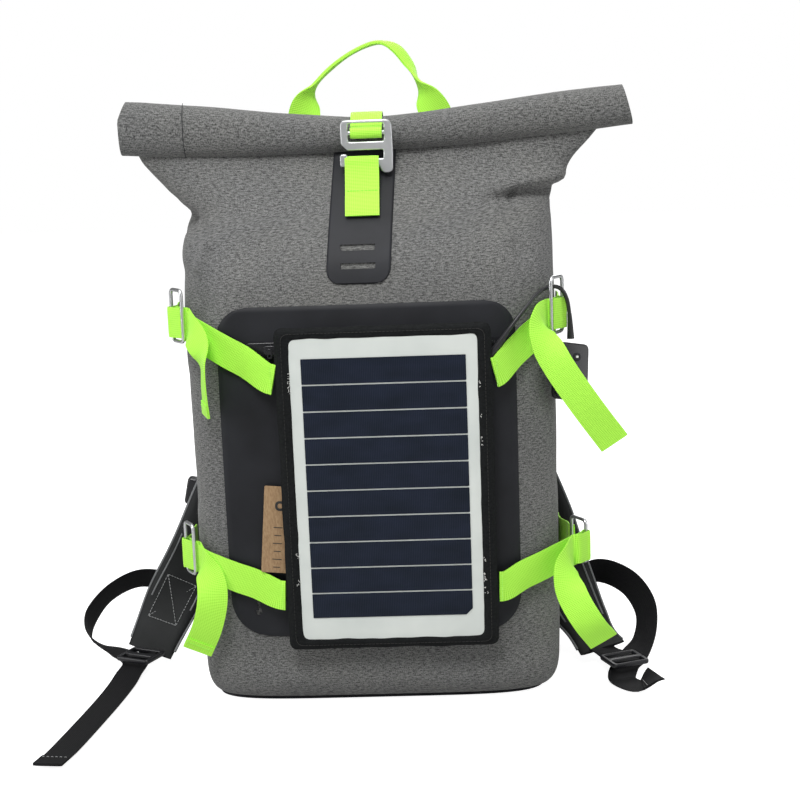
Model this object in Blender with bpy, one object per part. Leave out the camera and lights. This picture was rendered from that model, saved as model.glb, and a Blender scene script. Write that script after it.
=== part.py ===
"""Roll-top backpack with a strapped-on solar panel, standing on its base.

Blender 4.5, metres, +Z up. The front faces -Y, the wearer's back is at +Y, and the origin is
the centre of the base's underside. Shapes are worked out in millimetres and scaled once, in
new_object.
"""

import math

import bmesh
import bpy
from mathutils import Matrix, Vector

# Driving dimensions, in millimetres
WALL = 2.5                    # thickness of the bag's coated fabric, as a solid
WEBBING = 26.0                # width of the side straps
WEBBING_THICKNESS = 1.4
CLOSURE_WIDTH = 27.0          # width of the strap over the roll
HANDLE_WIDTH = 28.0
PAD_THICKNESS = 9.0
PANEL_SIZE = (178.0, 279.0)   # cover of the solar panel
LAMINATE_SIZE = (156.0, 263.0)
PANEL_CENTRE = (15.0, -97.5, 196.5)
PANEL_LEAN = math.radians(2.0)
CELL_SIZE = (136.5, 21.5)
CELL_PITCH = 22.7
CELLS = 10
ZIP_HEIGHT = 317.0
RING_WIRE = 1.7
CORD_DIAMETER = 3.5
HOOK_AXIS = (-28.25, 492.0)   # y and z of the hook's strap bar
STRAP_PIVOT = (21.0, 484.0)   # y and z of the closure strap's sewn root
HANDLE_PIVOT = (24.0, 480.0)  # y and z of the haul handle's sewn root
PULLER_AXIS = (-95.9, 318.0)  # y and z of the puller's pin

# The bag's cross-sections from base to neck: height, half width, front, back, squareness
BODY_SECTIONS = (
    (2.6, 138.0, -50.0, 62.0, 5.0),
    (6.0, 150.0, -60.0, 70.0, 5.0),
    (18.0, 158.0, -68.0, 75.0, 5.0),
    (40.0, 162.0, -75.0, 77.0, 5.0),
    (100.0, 162.5, -83.0, 77.0, 5.0),
    (200.0, 162.5, -88.0, 77.0, 5.0),
    (300.0, 162.5, -88.0, 77.0, 5.0),
    (350.0, 162.0, -83.0, 77.0, 4.6),
    (385.0, 160.5, -74.0, 75.0, 4.0),
    (412.0, 156.5, -58.0, 67.0, 3.4),
    (430.0, 157.0, -44.0, 56.0, 3.1),
    (446.0, 167.0, -31.0, 44.0, 2.9),
    (460.0, 181.0, -17.0, 31.0, 2.8),
    (472.0, 200.0, -3.0, 18.0, 2.8),
)
SECTION_POINTS = 44

# The roll's sections along its length: x, centre y, centre z, half depth, half height
ROLL_SECTIONS = (
    (-211.0, 0.0, 502.0, 15.0, 22.0),
    (-190.0, 0.0, 501.0, 17.0, 23.0),
    (-150.0, -1.0, 499.0, 18.0, 22.0),
    (-100.0, -2.0, 495.5, 19.0, 18.8),
    (-50.0, -3.0, 492.5, 19.0, 16.4),
    (0.0, -3.0, 491.0, 19.0, 15.3),
    (50.0, -3.0, 492.5, 19.0, 15.5),
    (100.0, -2.0, 496.5, 19.0, 16.4),
    (150.0, -1.0, 501.0, 18.0, 17.0),
    (200.0, 0.0, 505.0, 17.0, 17.4),
    (229.0, 0.0, 507.0, 16.0, 17.0),
)
ROLL_BORE = (10.0, 3.0)       # half depth and half height of the roll's inner channel

# Material of each finish: colour, roughness, metallic
FINISHES = {
    "shell_fabric": ((0.16, 0.16, 0.15), 0.85, 0.0),
    "black_tpu": ((0.025, 0.026, 0.03), 0.45, 0.0),
    "green_webbing": ((0.42, 1.0, 0.09), 0.6, 0.0),
    "black_webbing": ((0.02, 0.02, 0.022), 0.7, 0.0),
    "pad_mesh": ((0.012, 0.012, 0.013), 0.9, 0.0),
    "black_plastic": ((0.015, 0.015, 0.017), 0.4, 0.0),
    "aluminium": ((0.8, 0.81, 0.84), 0.35, 1.0),
    "steel": ((0.55, 0.56, 0.56), 0.3, 1.0),
    "panel_fabric": ((0.012, 0.013, 0.014), 0.8, 0.0),
    "board": ((0.02, 0.03, 0.02), 0.6, 0.0),
    "laminate": ((0.7, 0.74, 0.7), 0.35, 0.0),
    "cell": ((0.01, 0.013, 0.03), 0.15, 0.2),
    "inner_sheet": ((0.05, 0.05, 0.055), 0.6, 0.0),
    "kraft": ((0.36, 0.22, 0.11), 0.9, 0.0),
}


def clear_scene():
    for obj in list(bpy.data.objects):
        bpy.data.objects.remove(obj, do_unlink=True)


def material(finish):
    found = bpy.data.materials.get(finish)
    if found:
        return found
    colour, roughness, metallic = FINISHES[finish]
    made = bpy.data.materials.new(finish)
    made.use_nodes = True
    shader = made.node_tree.nodes["Principled BSDF"]
    shader.inputs["Base Color"].default_value = (*colour, 1.0)
    shader.inputs["Roughness"].default_value = roughness
    shader.inputs["Metallic"].default_value = metallic
    return made


def new_object(name, points, faces, finish, pivot=(0.0, 0.0, 0.0)):
    """A closed mesh from points in millimetres, with its origin at pivot and normals outward."""
    mesh = bpy.data.meshes.new(name)
    origin = Vector(pivot)
    mesh.from_pydata([(Vector(p) - origin) * 0.001 for p in points], [], faces)
    shape = bmesh.new()
    shape.from_mesh(mesh)
    bmesh.ops.recalc_face_normals(shape, faces=shape.faces)
    shape.to_mesh(mesh)
    shape.free()
    mesh.materials.append(material(finish))
    mesh.shade_smooth()
    mesh.set_sharp_from_angle(angle=math.radians(40))
    obj = bpy.data.objects.new(name, mesh)
    obj.location = origin * 0.001
    bpy.context.scene.collection.objects.link(obj)
    return obj


def smooth_path(points, steps):
    """Catmull-Rom points through the given ones, steps to each stretch."""
    points = [Vector(p) for p in points]
    ends = [2 * points[0] - points[1], *points, 2 * points[-1] - points[-2]]
    found = []
    for a, b, c, d in zip(ends, ends[1:], ends[2:], ends[3:]):
        for step in range(steps):
            t = step / steps
            found.append(
                0.5 * (2 * b + (c - a) * t + (2 * a - 5 * b + 4 * c - d) * t**2
                       + (3 * b - a - 3 * c + d) * t**3)
            )
    return [*found, points[-1]]


def bridge(rings, closed=False):
    """Quads between rings of equal length, with end caps unless the last meets the first."""
    size = len(rings[0])
    points = [p for ring in rings for p in ring]
    faces = []
    last = len(rings) if closed else len(rings) - 1
    for i in range(last):
        a, b = i * size, (i + 1) % len(rings) * size
        faces += [(a + j, a + (j + 1) % size, b + (j + 1) % size, b + j) for j in range(size)]
    if not closed:
        faces += [tuple(range(size)), tuple(reversed(range(len(points) - size, len(points))))]
    return points, faces


def ribbon(name, stations, width, thickness, finish, steps=3, pivot=(0.0, 0.0, 0.0)):
    """Webbing along stations of (point, width direction), its width even or one per station."""
    widths = width if isinstance(width, (list, tuple)) else [width] * len(stations)
    centres = smooth_path([p for p, _ in stations], steps)
    across = smooth_path([Vector(w).normalized() for _, w in stations], steps)
    spans = smooth_path([(w, 0.0, 0.0) for w in widths], steps)
    rings = []
    for i, centre in enumerate(centres):
        ahead = centres[min(i + 1, len(centres) - 1)] - centres[max(i - 1, 0)]
        side = across[i] - across[i].project(ahead)
        side = side.normalized() * spans[i].x / 2
        up = ahead.cross(side).normalized() * thickness / 2
        rings.append([centre - side - up, centre + side - up, centre + side + up, centre - side + up])
    return new_object(name, *bridge(rings), finish, pivot)


def box(name, low, high, finish, pivot=(0.0, 0.0, 0.0)):
    """A block between two corners, in millimetres."""
    xs, ys, zs = zip(low, high)
    points = [(x, y, z) for z in zs for x, y in
              ((xs[0], ys[0]), (xs[1], ys[0]), (xs[1], ys[1]), (xs[0], ys[1]))]
    faces = [(0, 1, 2, 3), (4, 5, 6, 7), (0, 1, 5, 4), (1, 2, 6, 5), (2, 3, 7, 6), (3, 0, 4, 7)]
    return new_object(name, points, faces, finish, pivot)


def rounded_outline(width, height, radius, steps=4):
    """Corner points of a rounded rectangle about its centre."""
    found = []
    for turn, (sx, sy) in enumerate(((1, 1), (-1, 1), (-1, -1), (1, -1))):
        cx, cy = sx * (width / 2 - radius), sy * (height / 2 - radius)
        for step in range(steps + 1):
            angle = math.pi / 2 * (turn + step / steps)
            found.append((cx + radius * math.cos(angle), cy + radius * math.sin(angle)))
    return found


def slab(name, size, radius, near, far, placed, finish):
    """A rounded plate in the plane of placed, from depth near to depth far along its normal."""
    outline = rounded_outline(*size, radius)
    rings = [[placed @ Vector((x, y, d)) for x, y in outline] for d in (near, far)]
    return new_object(name, *bridge(rings), finish)


def carve(obj, cutter, operation="DIFFERENCE"):
    cutter.hide_render = True
    cutter.display_type = "WIRE"
    boolean = obj.modifiers.new("carve_" + cutter.name, "BOOLEAN")
    boolean.operation = operation
    boolean.solver = "EXACT"
    boolean.object = cutter


def body_section(z):
    """Half width, front, back and squareness of the bag at a height."""
    z = min(max(z, BODY_SECTIONS[0][0]), BODY_SECTIONS[-1][0])
    for low, high in zip(BODY_SECTIONS, BODY_SECTIONS[1:]):
        if z <= high[0]:
            t = (z - low[0]) / (high[0] - low[0])
            return [a + (b - a) * t for a, b in zip(low[1:], high[1:])]
    return list(BODY_SECTIONS[-1][1:])


def front_surface(x, z, offset):
    """The y of the bag's front at (x, z), stood off by offset."""
    half, front, back, power = body_section(z)
    reach = max(0.0, 1.0 - abs(x / half) ** power) ** (1.0 / power)
    return (front + back) / 2 - (back - front) / 2 * reach - offset


def body_ring(section, inset):
    z, half, front, back, power = section
    centre, depth = (front + back) / 2, (back - front) / 2 - inset
    ring = []
    for i in range(SECTION_POINTS):
        angle = 2 * math.pi * i / SECTION_POINTS
        c, s = math.cos(angle), math.sin(angle)
        x = math.copysign(abs(c) ** (2 / power), c) * (half - inset)
        y = centre + math.copysign(abs(s) ** (2 / power), s) * depth
        ring.append((x, y, z))
    return ring


def bag_shell():
    """A thin-walled sack: outer loft, inner loft and the rim that joins them at the neck."""
    outer = [body_ring(section, 0.0) for section in BODY_SECTIONS]
    inner = []
    for section in BODY_SECTIONS:
        z = max(section[0], BODY_SECTIONS[0][0] + WALL)
        inner.append(body_ring((z, *body_section(z)), WALL))
    inner = inner[1:] if inner[0][0][2] == inner[1][0][2] else inner
    new_object("bag_shell", *bridge([*outer, *reversed(inner)]), "shell_fabric")


def base_panel():
    ring = [(x, y, 0.0) for x, y, _ in body_ring(BODY_SECTIONS[0], 0.0)]
    points, faces = bridge([ring, [(x, y, 2.3) for x, y, _ in ring]])
    new_object("base_panel", points, faces, "black_tpu")


def surface_patch(name, rows, columns, near, far, finish):
    """A plate that follows the bag's front: rows are (z, left, right)."""
    layers = []
    for offset in (near, far):
        layers.append([
            (left + (right - left) * j / columns, front_surface(left + (right - left) * j / columns, z, offset), z)
            for z, left, right in rows for j in range(columns + 1)
        ])
    size, wide = len(layers[0]), columns + 1
    faces = []
    for i in range(len(rows) - 1):
        for j in range(columns):
            a = i * wide + j
            faces.append((a, a + 1, a + wide + 1, a + wide))
            faces.append((size + a, size + a + wide, size + a + wide + 1, size + a + 1))
    rim = list(range(columns)) + [i * wide + columns for i in range(len(rows) - 1)]
    rim += [size - 1 - j for j in range(columns)] + [i * wide for i in range(len(rows) - 1, 0, -1)]
    faces += [(a, b, size + b, size + a) for a, b in zip(rim, rim[1:] + rim[:1])]
    return new_object(name, layers[0] + layers[1], faces, finish)


def rounded_rows(bottom, top, half, low_radius, high_radius, centre=lambda z: 0.0):
    """Rows of a rounded rectangle on the bag's front, at its sections' heights and its corners."""
    heights = {bottom + low_radius * (1 - math.cos(math.radians(a))) for a in (12, 35, 60, 90)}
    heights |= {top - high_radius * (1 - math.cos(math.radians(a))) for a in (12, 35, 60, 90)}
    heights |= {section[0] for section in BODY_SECTIONS if bottom + 1 < section[0] < top - 1}
    rows = []
    for z in sorted(heights):
        inset = 0.0
        for radius, depth in ((low_radius, z - bottom), (high_radius, top - z)):
            if depth < radius:
                inset = radius - math.sqrt(radius**2 - (radius - depth) ** 2)
        rows.append((z, centre(z) - half + inset, centre(z) + half - inset))
    return rows


def front_patches():
    rows = rounded_rows(64.0, 352.0, 125.5, 34.0, 26.0)
    surface_patch("front_patch", rows, 12, 1.0, 2.2, "black_tpu")
    rows = rounded_rows(368.0, 468.0, 27.0, 13.0, 1.0, centre=lambda z: -5.0 + (z - 361.0) * 0.06)
    patch = surface_patch("closure_patch", rows, 6, 1.0, 2.2, "black_tpu")
    for i, z in enumerate((382.0, 397.0)):
        slot = box(f"patch_slot_cutter_{i}", (-18.5, -95.0, z - 2.5), (10.5, -45.0, z + 2.5), "black_tpu")
        carve(patch, slot)


def zipper():
    rows = [(z, -84.0, 119.0) for z in (ZIP_HEIGHT - 4.0, ZIP_HEIGHT, ZIP_HEIGHT + 4.0)]
    surface_patch("zipper_tape", rows, 10, 2.6, 3.6, "black_tpu")
    rows = [(z, -100.0, -85.5) for z in (ZIP_HEIGHT - 6.0, ZIP_HEIGHT, ZIP_HEIGHT + 6.0)]
    surface_patch("zipper_garage", rows, 3, 2.6, 4.6, "black_tpu")
    box("zipper_slider", (-84.6, -95.0, ZIP_HEIGHT - 4.0), (-74.6, -92.3, ZIP_HEIGHT + 4.0),
        "aluminium", (-79.6, -93.6, ZIP_HEIGHT))
    y, z = PULLER_AXIS
    box("zipper_puller", (-81.8, y - 0.6, z - 8.0), (-77.4, y + 0.6, z + 0.6), "aluminium",
        (-79.6, y, z))


def ellipse(x, y, z, half_depth, half_height, points=20):
    return [(x, y + half_depth * math.cos(2 * math.pi * i / points),
             z + half_height * math.sin(2 * math.pi * i / points)) for i in range(points)]


def roll_top():
    """The rolled collar, a tube whose flat inner channel holds the stiffening strip."""
    outer = [ellipse(*section) for section in ROLL_SECTIONS]
    inner = [ellipse(x, y, z, *ROLL_BORE) for x, y, z, _, _ in ROLL_SECTIONS]
    points, faces = bridge([*outer, *reversed(inner)], closed=True)
    new_object("roll_top", points, faces, "shell_fabric")
    strip = [((x, y, z), (0, 1, 0)) for x, y, z, _, _ in ROLL_SECTIONS[1:-1]]
    ribbon("roll_stiffener", strip, 14.0, 1.6, "inner_sheet", steps=1)


def closure_strap():
    """From the sewn root behind the roll, over it and round the hook's strap bar."""
    y, z = STRAP_PIVOT
    route = ((y, z), (20.5, 497.0), (14.0, 507.5), (3.0, 511.0), (-9.0, 509.0), (-17.0, 504.5),
             (-20.6, 499.6), (-23.6, 496.6), (-28.0, 496.3), (-31.8, 494.8), (-32.6, 492.0),
             (-31.6, 489.2), (-28.4, 487.8))
    stations = [((4.5, py, pz), (1, 0, 0)) for py, pz in route]
    ribbon("closure_strap", stations, CLOSURE_WIDTH, 1.2, "green_webbing", 2, (4.5, y, z))


def g_hook():
    """A flat G-shaped hook: bars on a grid of cells, open on the left above the lower bar."""
    xs = (-18.0, -15.5, -12.0, -10.0, 19.0, 26.5)
    zs = (458.0, 463.0, 470.0, 474.0, 477.5, 485.0, 490.5, 493.5, 499.8, 503.0)
    filled = {(4, row) for row in range(9)}
    filled |= {(column, row) for column in (1, 2) for row in range(4, 9)}
    filled |= {(3, row) for row in (4, 6, 8)} | {(column, 1) for column in (0, 1, 2, 3)}
    filled |= {(0, 2), (1, 2)}
    y = HOOK_AXIS[0]
    shape = bmesh.new()
    grid = {}
    for column, row in filled:
        corners = []
        for i, j in ((column, row), (column + 1, row), (column + 1, row + 1), (column, row + 1)):
            if (i, j) not in grid:
                grid[i, j] = shape.verts.new((xs[i], y - 1.75, zs[j]))
            corners.append(grid[i, j])
        shape.faces.new(corners)
    grown = bmesh.ops.extrude_face_region(shape, geom=list(shape.faces))["geom"]
    for vert in grown:
        if isinstance(vert, bmesh.types.BMVert):
            vert.co.y += 3.5
    shape.verts.index_update()
    points = [tuple(v.co) for v in shape.verts]
    faces = [tuple(v.index for v in face.verts) for face in shape.faces]
    shape.free()
    new_object("g_hook", points, faces, "aluminium", (4.5, *HOOK_AXIS))


def hook_loop():
    """The loop the hook catches: a back layer behind the bar, its front layer below the bar."""
    route = [(front_surface(0.0, z, 4.0), z) for z in (424.0, 433.0, 442.0)]
    route += [(-32.5, 452.0), (-27.2, 459.0), (-24.4, 464.5), (-23.4, 471.0)]
    stations = [((0.0, y, z), (1, 0, 0)) for y, z in route]
    ribbon("hook_loop", stations, 29.0, 2.2, "green_webbing", 2)


def haul_handle():
    """Two flat roots behind the roll, each twisted a quarter turn into the standing arch."""
    y, z = HANDLE_PIVOT
    stations = (
        ((-52, y, z + 2), (1, 0, 0)), ((-52, y, 500), (1, 0, 0)), ((-50, 26, 517), (0.9, 0.45, 0)),
        ((-43, 31, 534), (0.2, 1, 0)), ((-28, 36, 549), (0, 1, 0)), ((-7, 37, 562), (0, 1, 0)),
        ((14, 37, 568.5), (0, 1, 0)), ((31, 37, 562), (0, 1, 0)), ((43, 36, 549), (0, 1, 0)),
        ((50, 31, 534), (-0.2, 1, 0)), ((57, 26, 518), (-0.9, 0.45, 0)), ((63, y, 501), (-1, 0, 0)),
        ((63, y, z + 2), (-1, 0, 0)),
    )
    ribbon("haul_handle", stations, HANDLE_WIDTH, 2.2, "green_webbing", 2, (6.0, y, z))


def ring(name, near_bar, far_bar, low, high, lean=(0.0, 0.0)):
    """A rectangular wire ring standing on edge, between two upright bars at (x, y)."""
    centre = Vector(((near_bar[0] + far_bar[0]) / 2, (near_bar[1] + far_bar[1]) / 2, (low + high) / 2))
    across = Vector((far_bar[0] - near_bar[0], far_bar[1] - near_bar[1], 0.0))
    up = Vector((lean[0], lean[1], 1.0)).normalized()
    outline = rounded_outline(across.length, high - low, 4.5, steps=2)
    across.normalize()
    normal = across.cross(up).normalized()
    rings = []
    for i, (u, v) in enumerate(outline):
        before, after = outline[i - 1], outline[(i + 1) % len(outline)]
        ahead = (across * (after[0] - before[0]) + up * (after[1] - before[1])).normalized()
        side = ahead.cross(normal)
        at = centre + across * u + up * v
        rings.append([at + RING_WIRE * (side * math.cos(a) + normal * math.sin(a))
                      for a in (math.pi / 4 * k for k in range(8))])
    new_object(name, *bridge(rings, closed=True), "steel")


def anchor(name, bar, height, side):
    """The short webbing that holds a ring, folded round its far bar and sewn to the bag's side."""
    x, y = bar
    stations = (
        ((x - side * 1.5, y + 6.4, height), (0, 0, 1)), ((x - side * 3.0, y + 14, height), (0, 0, 1)),
        ((side * 164.8, y + 28, height), (0, 0, 1)), ((side * 164.4, y + 46, height), (0, 0, 1)),
    )
    ribbon(name, stations, WEBBING, WEBBING_THICKNESS, "green_webbing", 2)


# Each strap: side, bar it runs behind, bar it wraps, the ring's other bar, ring bottom and
# top, and the height at which it is sewn to the panel
SIDE_STRAPS = {
    "upper_left": (-1, (-158.5, -73.0), (-170.5, -57.0), (-158.5, -73.0), 323, 367, 293.5),
    "upper_right": (1, (156.0, -75.0), (166.5, -59.0), (156.0, -75.0), 321, 368, 294.0),
    "lower_left": (-1, (-160.5, -70.0), (-170.0, -54.0), (-160.5, -70.0), 118, 162, 105.0),
    "lower_right": (1, (175.0, -71.0), (184.0, -55.0), (173.0, -36.0), 115, 153, 108.0),
}
# The free end of each strap beyond its ring: point and width direction
TAILS = {
    "upper_left": (
        ((-145, -82, 331), (0.25, 0.1, 1)), ((-138, -92, 320), (0.6, -0.5, 0.7)),
        ((-136, -97, 306), (0.3, -1, 0.2)), ((-136, -98, 286), (0.3, -1, 0)),
        ((-135, -97, 264), (0.35, -1, 0)),
    ),
    "upper_right": (
        ((147, -86, 334), (-0.3, 0.1, 1)), ((148, -95, 321), (-0.9, 0, 0.75)),
        ((160, -103, 297), (-0.9, 0.1, -0.35)), ((181, -105, 265), (-0.85, 0.1, -0.5)),
        ((205, -101, 231), (-0.8, 0.1, -0.5)),
    ),
    "lower_left": (
        ((-148, -78, 128), (0.2, 0.1, 1)), ((-141, -87, 115), (0.9, 0.1, 0.6)),
        ((-141, -91, 97), (1, 0.1, 0.1)), ((-147, -90, 75), (1, 0.1, -0.25)),
        ((-157, -86, 54), (0.9, 0.1, -0.4)),
    ),
    "lower_right": (
        ((167, -82, 126), (-0.2, 0.1, 1)), ((164, -92, 115), (-0.9, -0.2, 0.6)),
        ((169, -102, 98), (-1, 0.1, -0.1)), ((181, -107, 77), (-0.95, 0.1, -0.35)),
        ((194, -99, 58), (-0.8, 0.1, -0.5)),
    ),
}


def clear_of_bag(point, offset):
    """The point, moved forward where the bag's front is nearer than offset over the webbing."""
    x, y, z = point
    if abs(x) > 160.0:
        return point
    nearest = min(front_surface(x, z + h, offset) for h in (-WEBBING / 2, 0.0, WEBBING / 2))
    return Vector((x, min(y, nearest), z))


def side_straps():
    """Each strap from the panel's edge across the bag's corner, round its ring and back."""
    for name, (side, guard, bar, other, low, high, sewn_z) in SIDE_STRAPS.items():
        ring(f"ring_{name}", other, bar, low, high)
        level = low + 3.0 + WEBBING / 2
        anchor(f"ring_anchor_{name}", other if name == "lower_right" else bar, level, side)
        panel_x = PANEL_CENTRE[0] + side * (PANEL_SIZE[0] / 2 + 2.9)
        panel_y = PANEL_CENTRE[1] - (sewn_z - PANEL_CENTRE[2]) * math.tan(PANEL_LEAN) - 2.0
        start = Vector((panel_x, panel_y, sewn_z))
        back = Vector((guard[0] + side * 2.5, guard[1] + 9.0, level))
        stations = [(start, (0, 0, 1)), (start.lerp(back, 0.1) + Vector((0, 0, -2)), (0, 0, 1))]
        stations += [(clear_of_bag(start.lerp(back, t), 6.2), (0, 0, 1)) for t in (0.3, 0.5, 0.68, 0.84)]
        stations += [
            (back, (0, 0, 1)), ((bar[0] - side * 1.5, bar[1] + 3.3, level), (0, 0, 1)),
            ((bar[0] + side * 2.4, bar[1] + 1.9, level), (0, 0, 1)),
            ((bar[0] + side * 2.9, bar[1] - 1.5, level), (0, 0, 1)),
            ((bar[0] + side * 0.2, bar[1] - 3.6, level), (0, 0, 1)),
            ((guard[0] + side * 2.6, guard[1] + 4.4, level), (0, 0, 1)),
            ((guard[0] - side * 3.6, guard[1] + 2.6, level), (0, 0, 1)),
        ]
        stations += TAILS[name]
        ribbon(f"strap_{name}", stations, WEBBING, WEBBING_THICKNESS, "green_webbing", 2)


def solar_panel():
    """Cover with a shallow pocket, stiff board, white laminate and the row of cells."""
    placed = Matrix.Translation(PANEL_CENTRE) @ Matrix.Rotation(math.pi / 2 + PANEL_LEAN, 4, "X")
    cover = slab("panel_cover", PANEL_SIZE, 5.0, 0.0, 4.2, placed, "panel_fabric")
    pocket = slab("panel_pocket_cutter", (168.0, 269.0), 4.0, 1.5, 9.0, placed, "panel_fabric")
    carve(cover, pocket)
    slab("panel_board", (166.0, 267.0), 3.0, 1.8, 3.2, placed, "board")
    slab("panel_laminate", LAMINATE_SIZE, 6.0, 3.5, 4.7, placed, "laminate")
    lowest = -CELL_PITCH * (CELLS - 1) / 2 + 1.5
    for i in range(CELLS):
        cell = placed @ Matrix.Translation((0.0, lowest + CELL_PITCH * i, 0.0))
        slab(f"solar_cell_{i + 1:02d}", CELL_SIZE, 0.8, 5.0, 5.4, cell, "cell")


CORD_ROUTE = (
    (104.2, -99.0, 308.5), (112.0, -99.0, 319.0), (122.0, -97.0, 332.0), (133.0, -91.0, 344.5),
    (142.0, -82.0, 353.5), (150.0, -73.0, 358.5), (158.5, -68.0, 360.0), (165.5, -66.0, 357.0),
    (170.0, -64.5, 348.5), (172.0, -63.5, 336.0), (172.6, -63.0, 324.0), (172.8, -63.0, 314.5),
)


def solar_lead():
    """The lead from the panel through the upper right ring to the hanging regulator."""
    box("cable_gland", (91.0, -101.0, 304.0), (102.2, -97.0, 313.0), "black_plastic")
    curve = bpy.data.curves.new("solar_cable", "CURVE")
    curve.dimensions = "3D"
    curve.bevel_depth = CORD_DIAMETER / 2000
    curve.bevel_resolution = 2
    curve.use_fill_caps = True
    path = smooth_path(CORD_ROUTE, 2)
    spline = curve.splines.new("POLY")
    spline.points.add(len(path) - 1)
    for point, place in zip(spline.points, path):
        point.co = (*(place * 0.001), 1.0)
    curve.materials.append(material("black_plastic"))
    bpy.context.scene.collection.objects.link(bpy.data.objects.new("solar_cable", curve))


def regulator():
    """Two half shells round a hollow, with the output socket let into the lower end."""
    turned = Matrix.Translation((171.5, -67.0, 287.0)) @ Matrix.Rotation(math.radians(26.0), 4, "Z")
    turned = turned @ Matrix.Rotation(math.radians(-14.0), 4, "X") @ Matrix.Rotation(math.radians(11.0), 4, "Y")
    facing = turned @ Matrix.Rotation(math.pi / 2, 4, "X")
    for name, near, far, low, high in (
        ("regulator_front_shell", 0.2, 5.6, -1.0, 4.0),
        ("regulator_back_shell", -5.6, -0.2, -4.0, 1.0),
    ):
        shell = slab(name, (30.0, 48.0), 5.0, near, far, facing, "black_plastic")
        carve(shell, slab(name + "_cutter", (26.4, 44.4), 3.5, low, high, facing, "black_plastic"))
        mouth = slab(name + "_mouth_cutter", (14.6, 12.0), 1.0, -3.4, 3.4,
                     facing @ Matrix.Translation((0.0, -24.0, 0.0)), "black_plastic")
        carve(shell, mouth)
    inner = facing @ Matrix.Translation((0.0, -17.5, 0.0))
    socket = slab("usb_socket", (14.0, 12.6), 0.8, -3.1, 3.1, inner, "steel")
    carve(socket, slab("usb_mouth_cutter", (12.0, 12.0), 0.6, -2.3, 2.3,
                       inner @ Matrix.Translation((0.0, -2.0, 0.0)), "steel"))


# Routes of the carrying straps: point and width direction, from the top of the back down
PAD_LEFT = (
    ((-44, 96, 392), (1, 0, 0)), ((-47, 105, 350), (1, 0, 0.05)), ((-66, 112, 295), (1, 0, 0.25)),
    ((-100, 115, 245), (0.9, 0.1, 0.45)), ((-140, 108, 195), (0.85, 0.3, 0.5)),
    ((-172, 92, 148), (0.85, 0.35, 0.45)), ((-190, 76, 100), (0.85, 0.35, 0.35)),
    ((-207, 62, 52), (0.88, 0.3, 0.3)), ((-221, 45, 16), (0.95, 0.2, 0.1)),
)
PAD_RIGHT = (
    ((44, 96, 392), (1, 0, 0)), ((47, 105, 350), (1, 0, -0.05)), ((66, 112, 295), (1, 0, -0.25)),
    ((98, 117, 240), (0.9, -0.1, -0.45)), ((132, 118, 180), (0.85, -0.3, -0.5)),
    ((158, 108, 118), (0.85, -0.4, -0.45)), ((174, 84, 64), (0.85, -0.45, -0.35)),
    ((188, 46, 30), (0.8, -0.5, -0.35)), ((203, 6, 14), (0.85, -0.5, -0.15)),
)
PAD_WIDTHS = (58, 60, 60, 58, 55, 52, 50, 48, 44)
ADJUSTER_LEFT = (
    ((-154, 82, 18), (0, 0, -1)), ((-178, 100, 36), (0, -0.1, -1)), ((-212, 118, 52), (-0.1, 0.3, -0.9)),
    ((-245, 116, 60), (-0.1, 0.5, -0.85)), ((-272, 98, 52), (-0.1, 0.5, -0.85)),
    ((-287, 74, 36), (0.1, 0.5, -0.85)), ((-286, 54, 24), (0.1, 0.6, -0.75)),
    ((-272, 42, 16), (0.2, 0.85, -0.4)), ((-256, 36, 8.5), (0.5, 0.8, -0.1)),
    ((-242, 18, 4.5), (0.95, 0.35, 0)), ((-238, -6, 3.2), (1, 0.12, 0)),
    ((-239, -30, 2.4), (1, 0.1, 0)), ((-243, -70, 2), (1, 0.1, 0)),
    ((-250, -125, 2), (1, 0.15, 0)), ((-257, -175, 2.2), (1, 0.15, 0)),
    ((-262, -208, 4), (1, 0.15, 0)),
)
ADJUSTER_RIGHT = (
    ((154, 82, 18), (0, 0, 1)), ((176, 100, 40), (0, -0.3, 1)), ((206, 106, 58), (0.3, -0.3, 1)),
    ((234, 84, 54), (0.5, -0.2, 0.9)), ((248, 54, 38), (0.6, 0, 0.8)),
    ((244, 24, 20), (0.8, 0.2, 0.6)), ((229, -2, 6.5), (0.95, 0.3, 0.1)),
    ((219, -24, 4.6), (0.95, 0.35, 0)), ((216, -46, 2.4), (0.9, 0.4, 0)),
    ((230, -64, 3.6), (0.5, 0.9, 0.1)), ((244, -58, 12), (0.2, 0.9, 0.4)),
)


def carrying_straps():
    """Padded straps, their ladder locks and keepers, and the adjuster webbing through them."""
    ribbon("strap_yoke", (((-82, 89.2, 384), (0, 0, 1)), ((0, 89.2, 384), (0, 0, 1)),
                          ((82, 89.2, 384), (0, 0, 1))), 30.0, 2.4, "black_webbing")
    for side, pad, adjuster in (("left", PAD_LEFT, ADJUSTER_LEFT), ("right", PAD_RIGHT, ADJUSTER_RIGHT)):
        sign = -1 if side == "left" else 1
        ribbon(f"shoulder_pad_{side}", pad, PAD_WIDTHS, PAD_THICKNESS, "pad_mesh")
        ribbon(f"adjuster_webbing_{side}", adjuster, 25.0, WEBBING_THICKNESS, "black_webbing", 2)
        inner, outer = sorted((sign * 122.0, sign * 147.0))
        box(f"strap_wing_{side}", (inner, 77.6, 8.0), (outer, 80.0, 30.0), "black_webbing")


def ladder_lock(name, centre, turn):
    """A flat buckle of three bars, through which the adjuster webbing runs."""
    placed = Matrix.Translation(centre) @ Matrix.Rotation(turn, 4, "Z")
    frame = slab(name, (36.0, 30.0), 3.0, 0.0, 4.0, placed, "black_plastic")
    for i, v in enumerate((-7.5, 7.5)):
        window = placed @ Matrix.Translation((0.0, v, 0.0))
        carve(frame, slab(f"{name}_window_cutter_{i}", (28.0, 9.0), 1.0, -2.0, 6.0, window, "black_plastic"))


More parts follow.
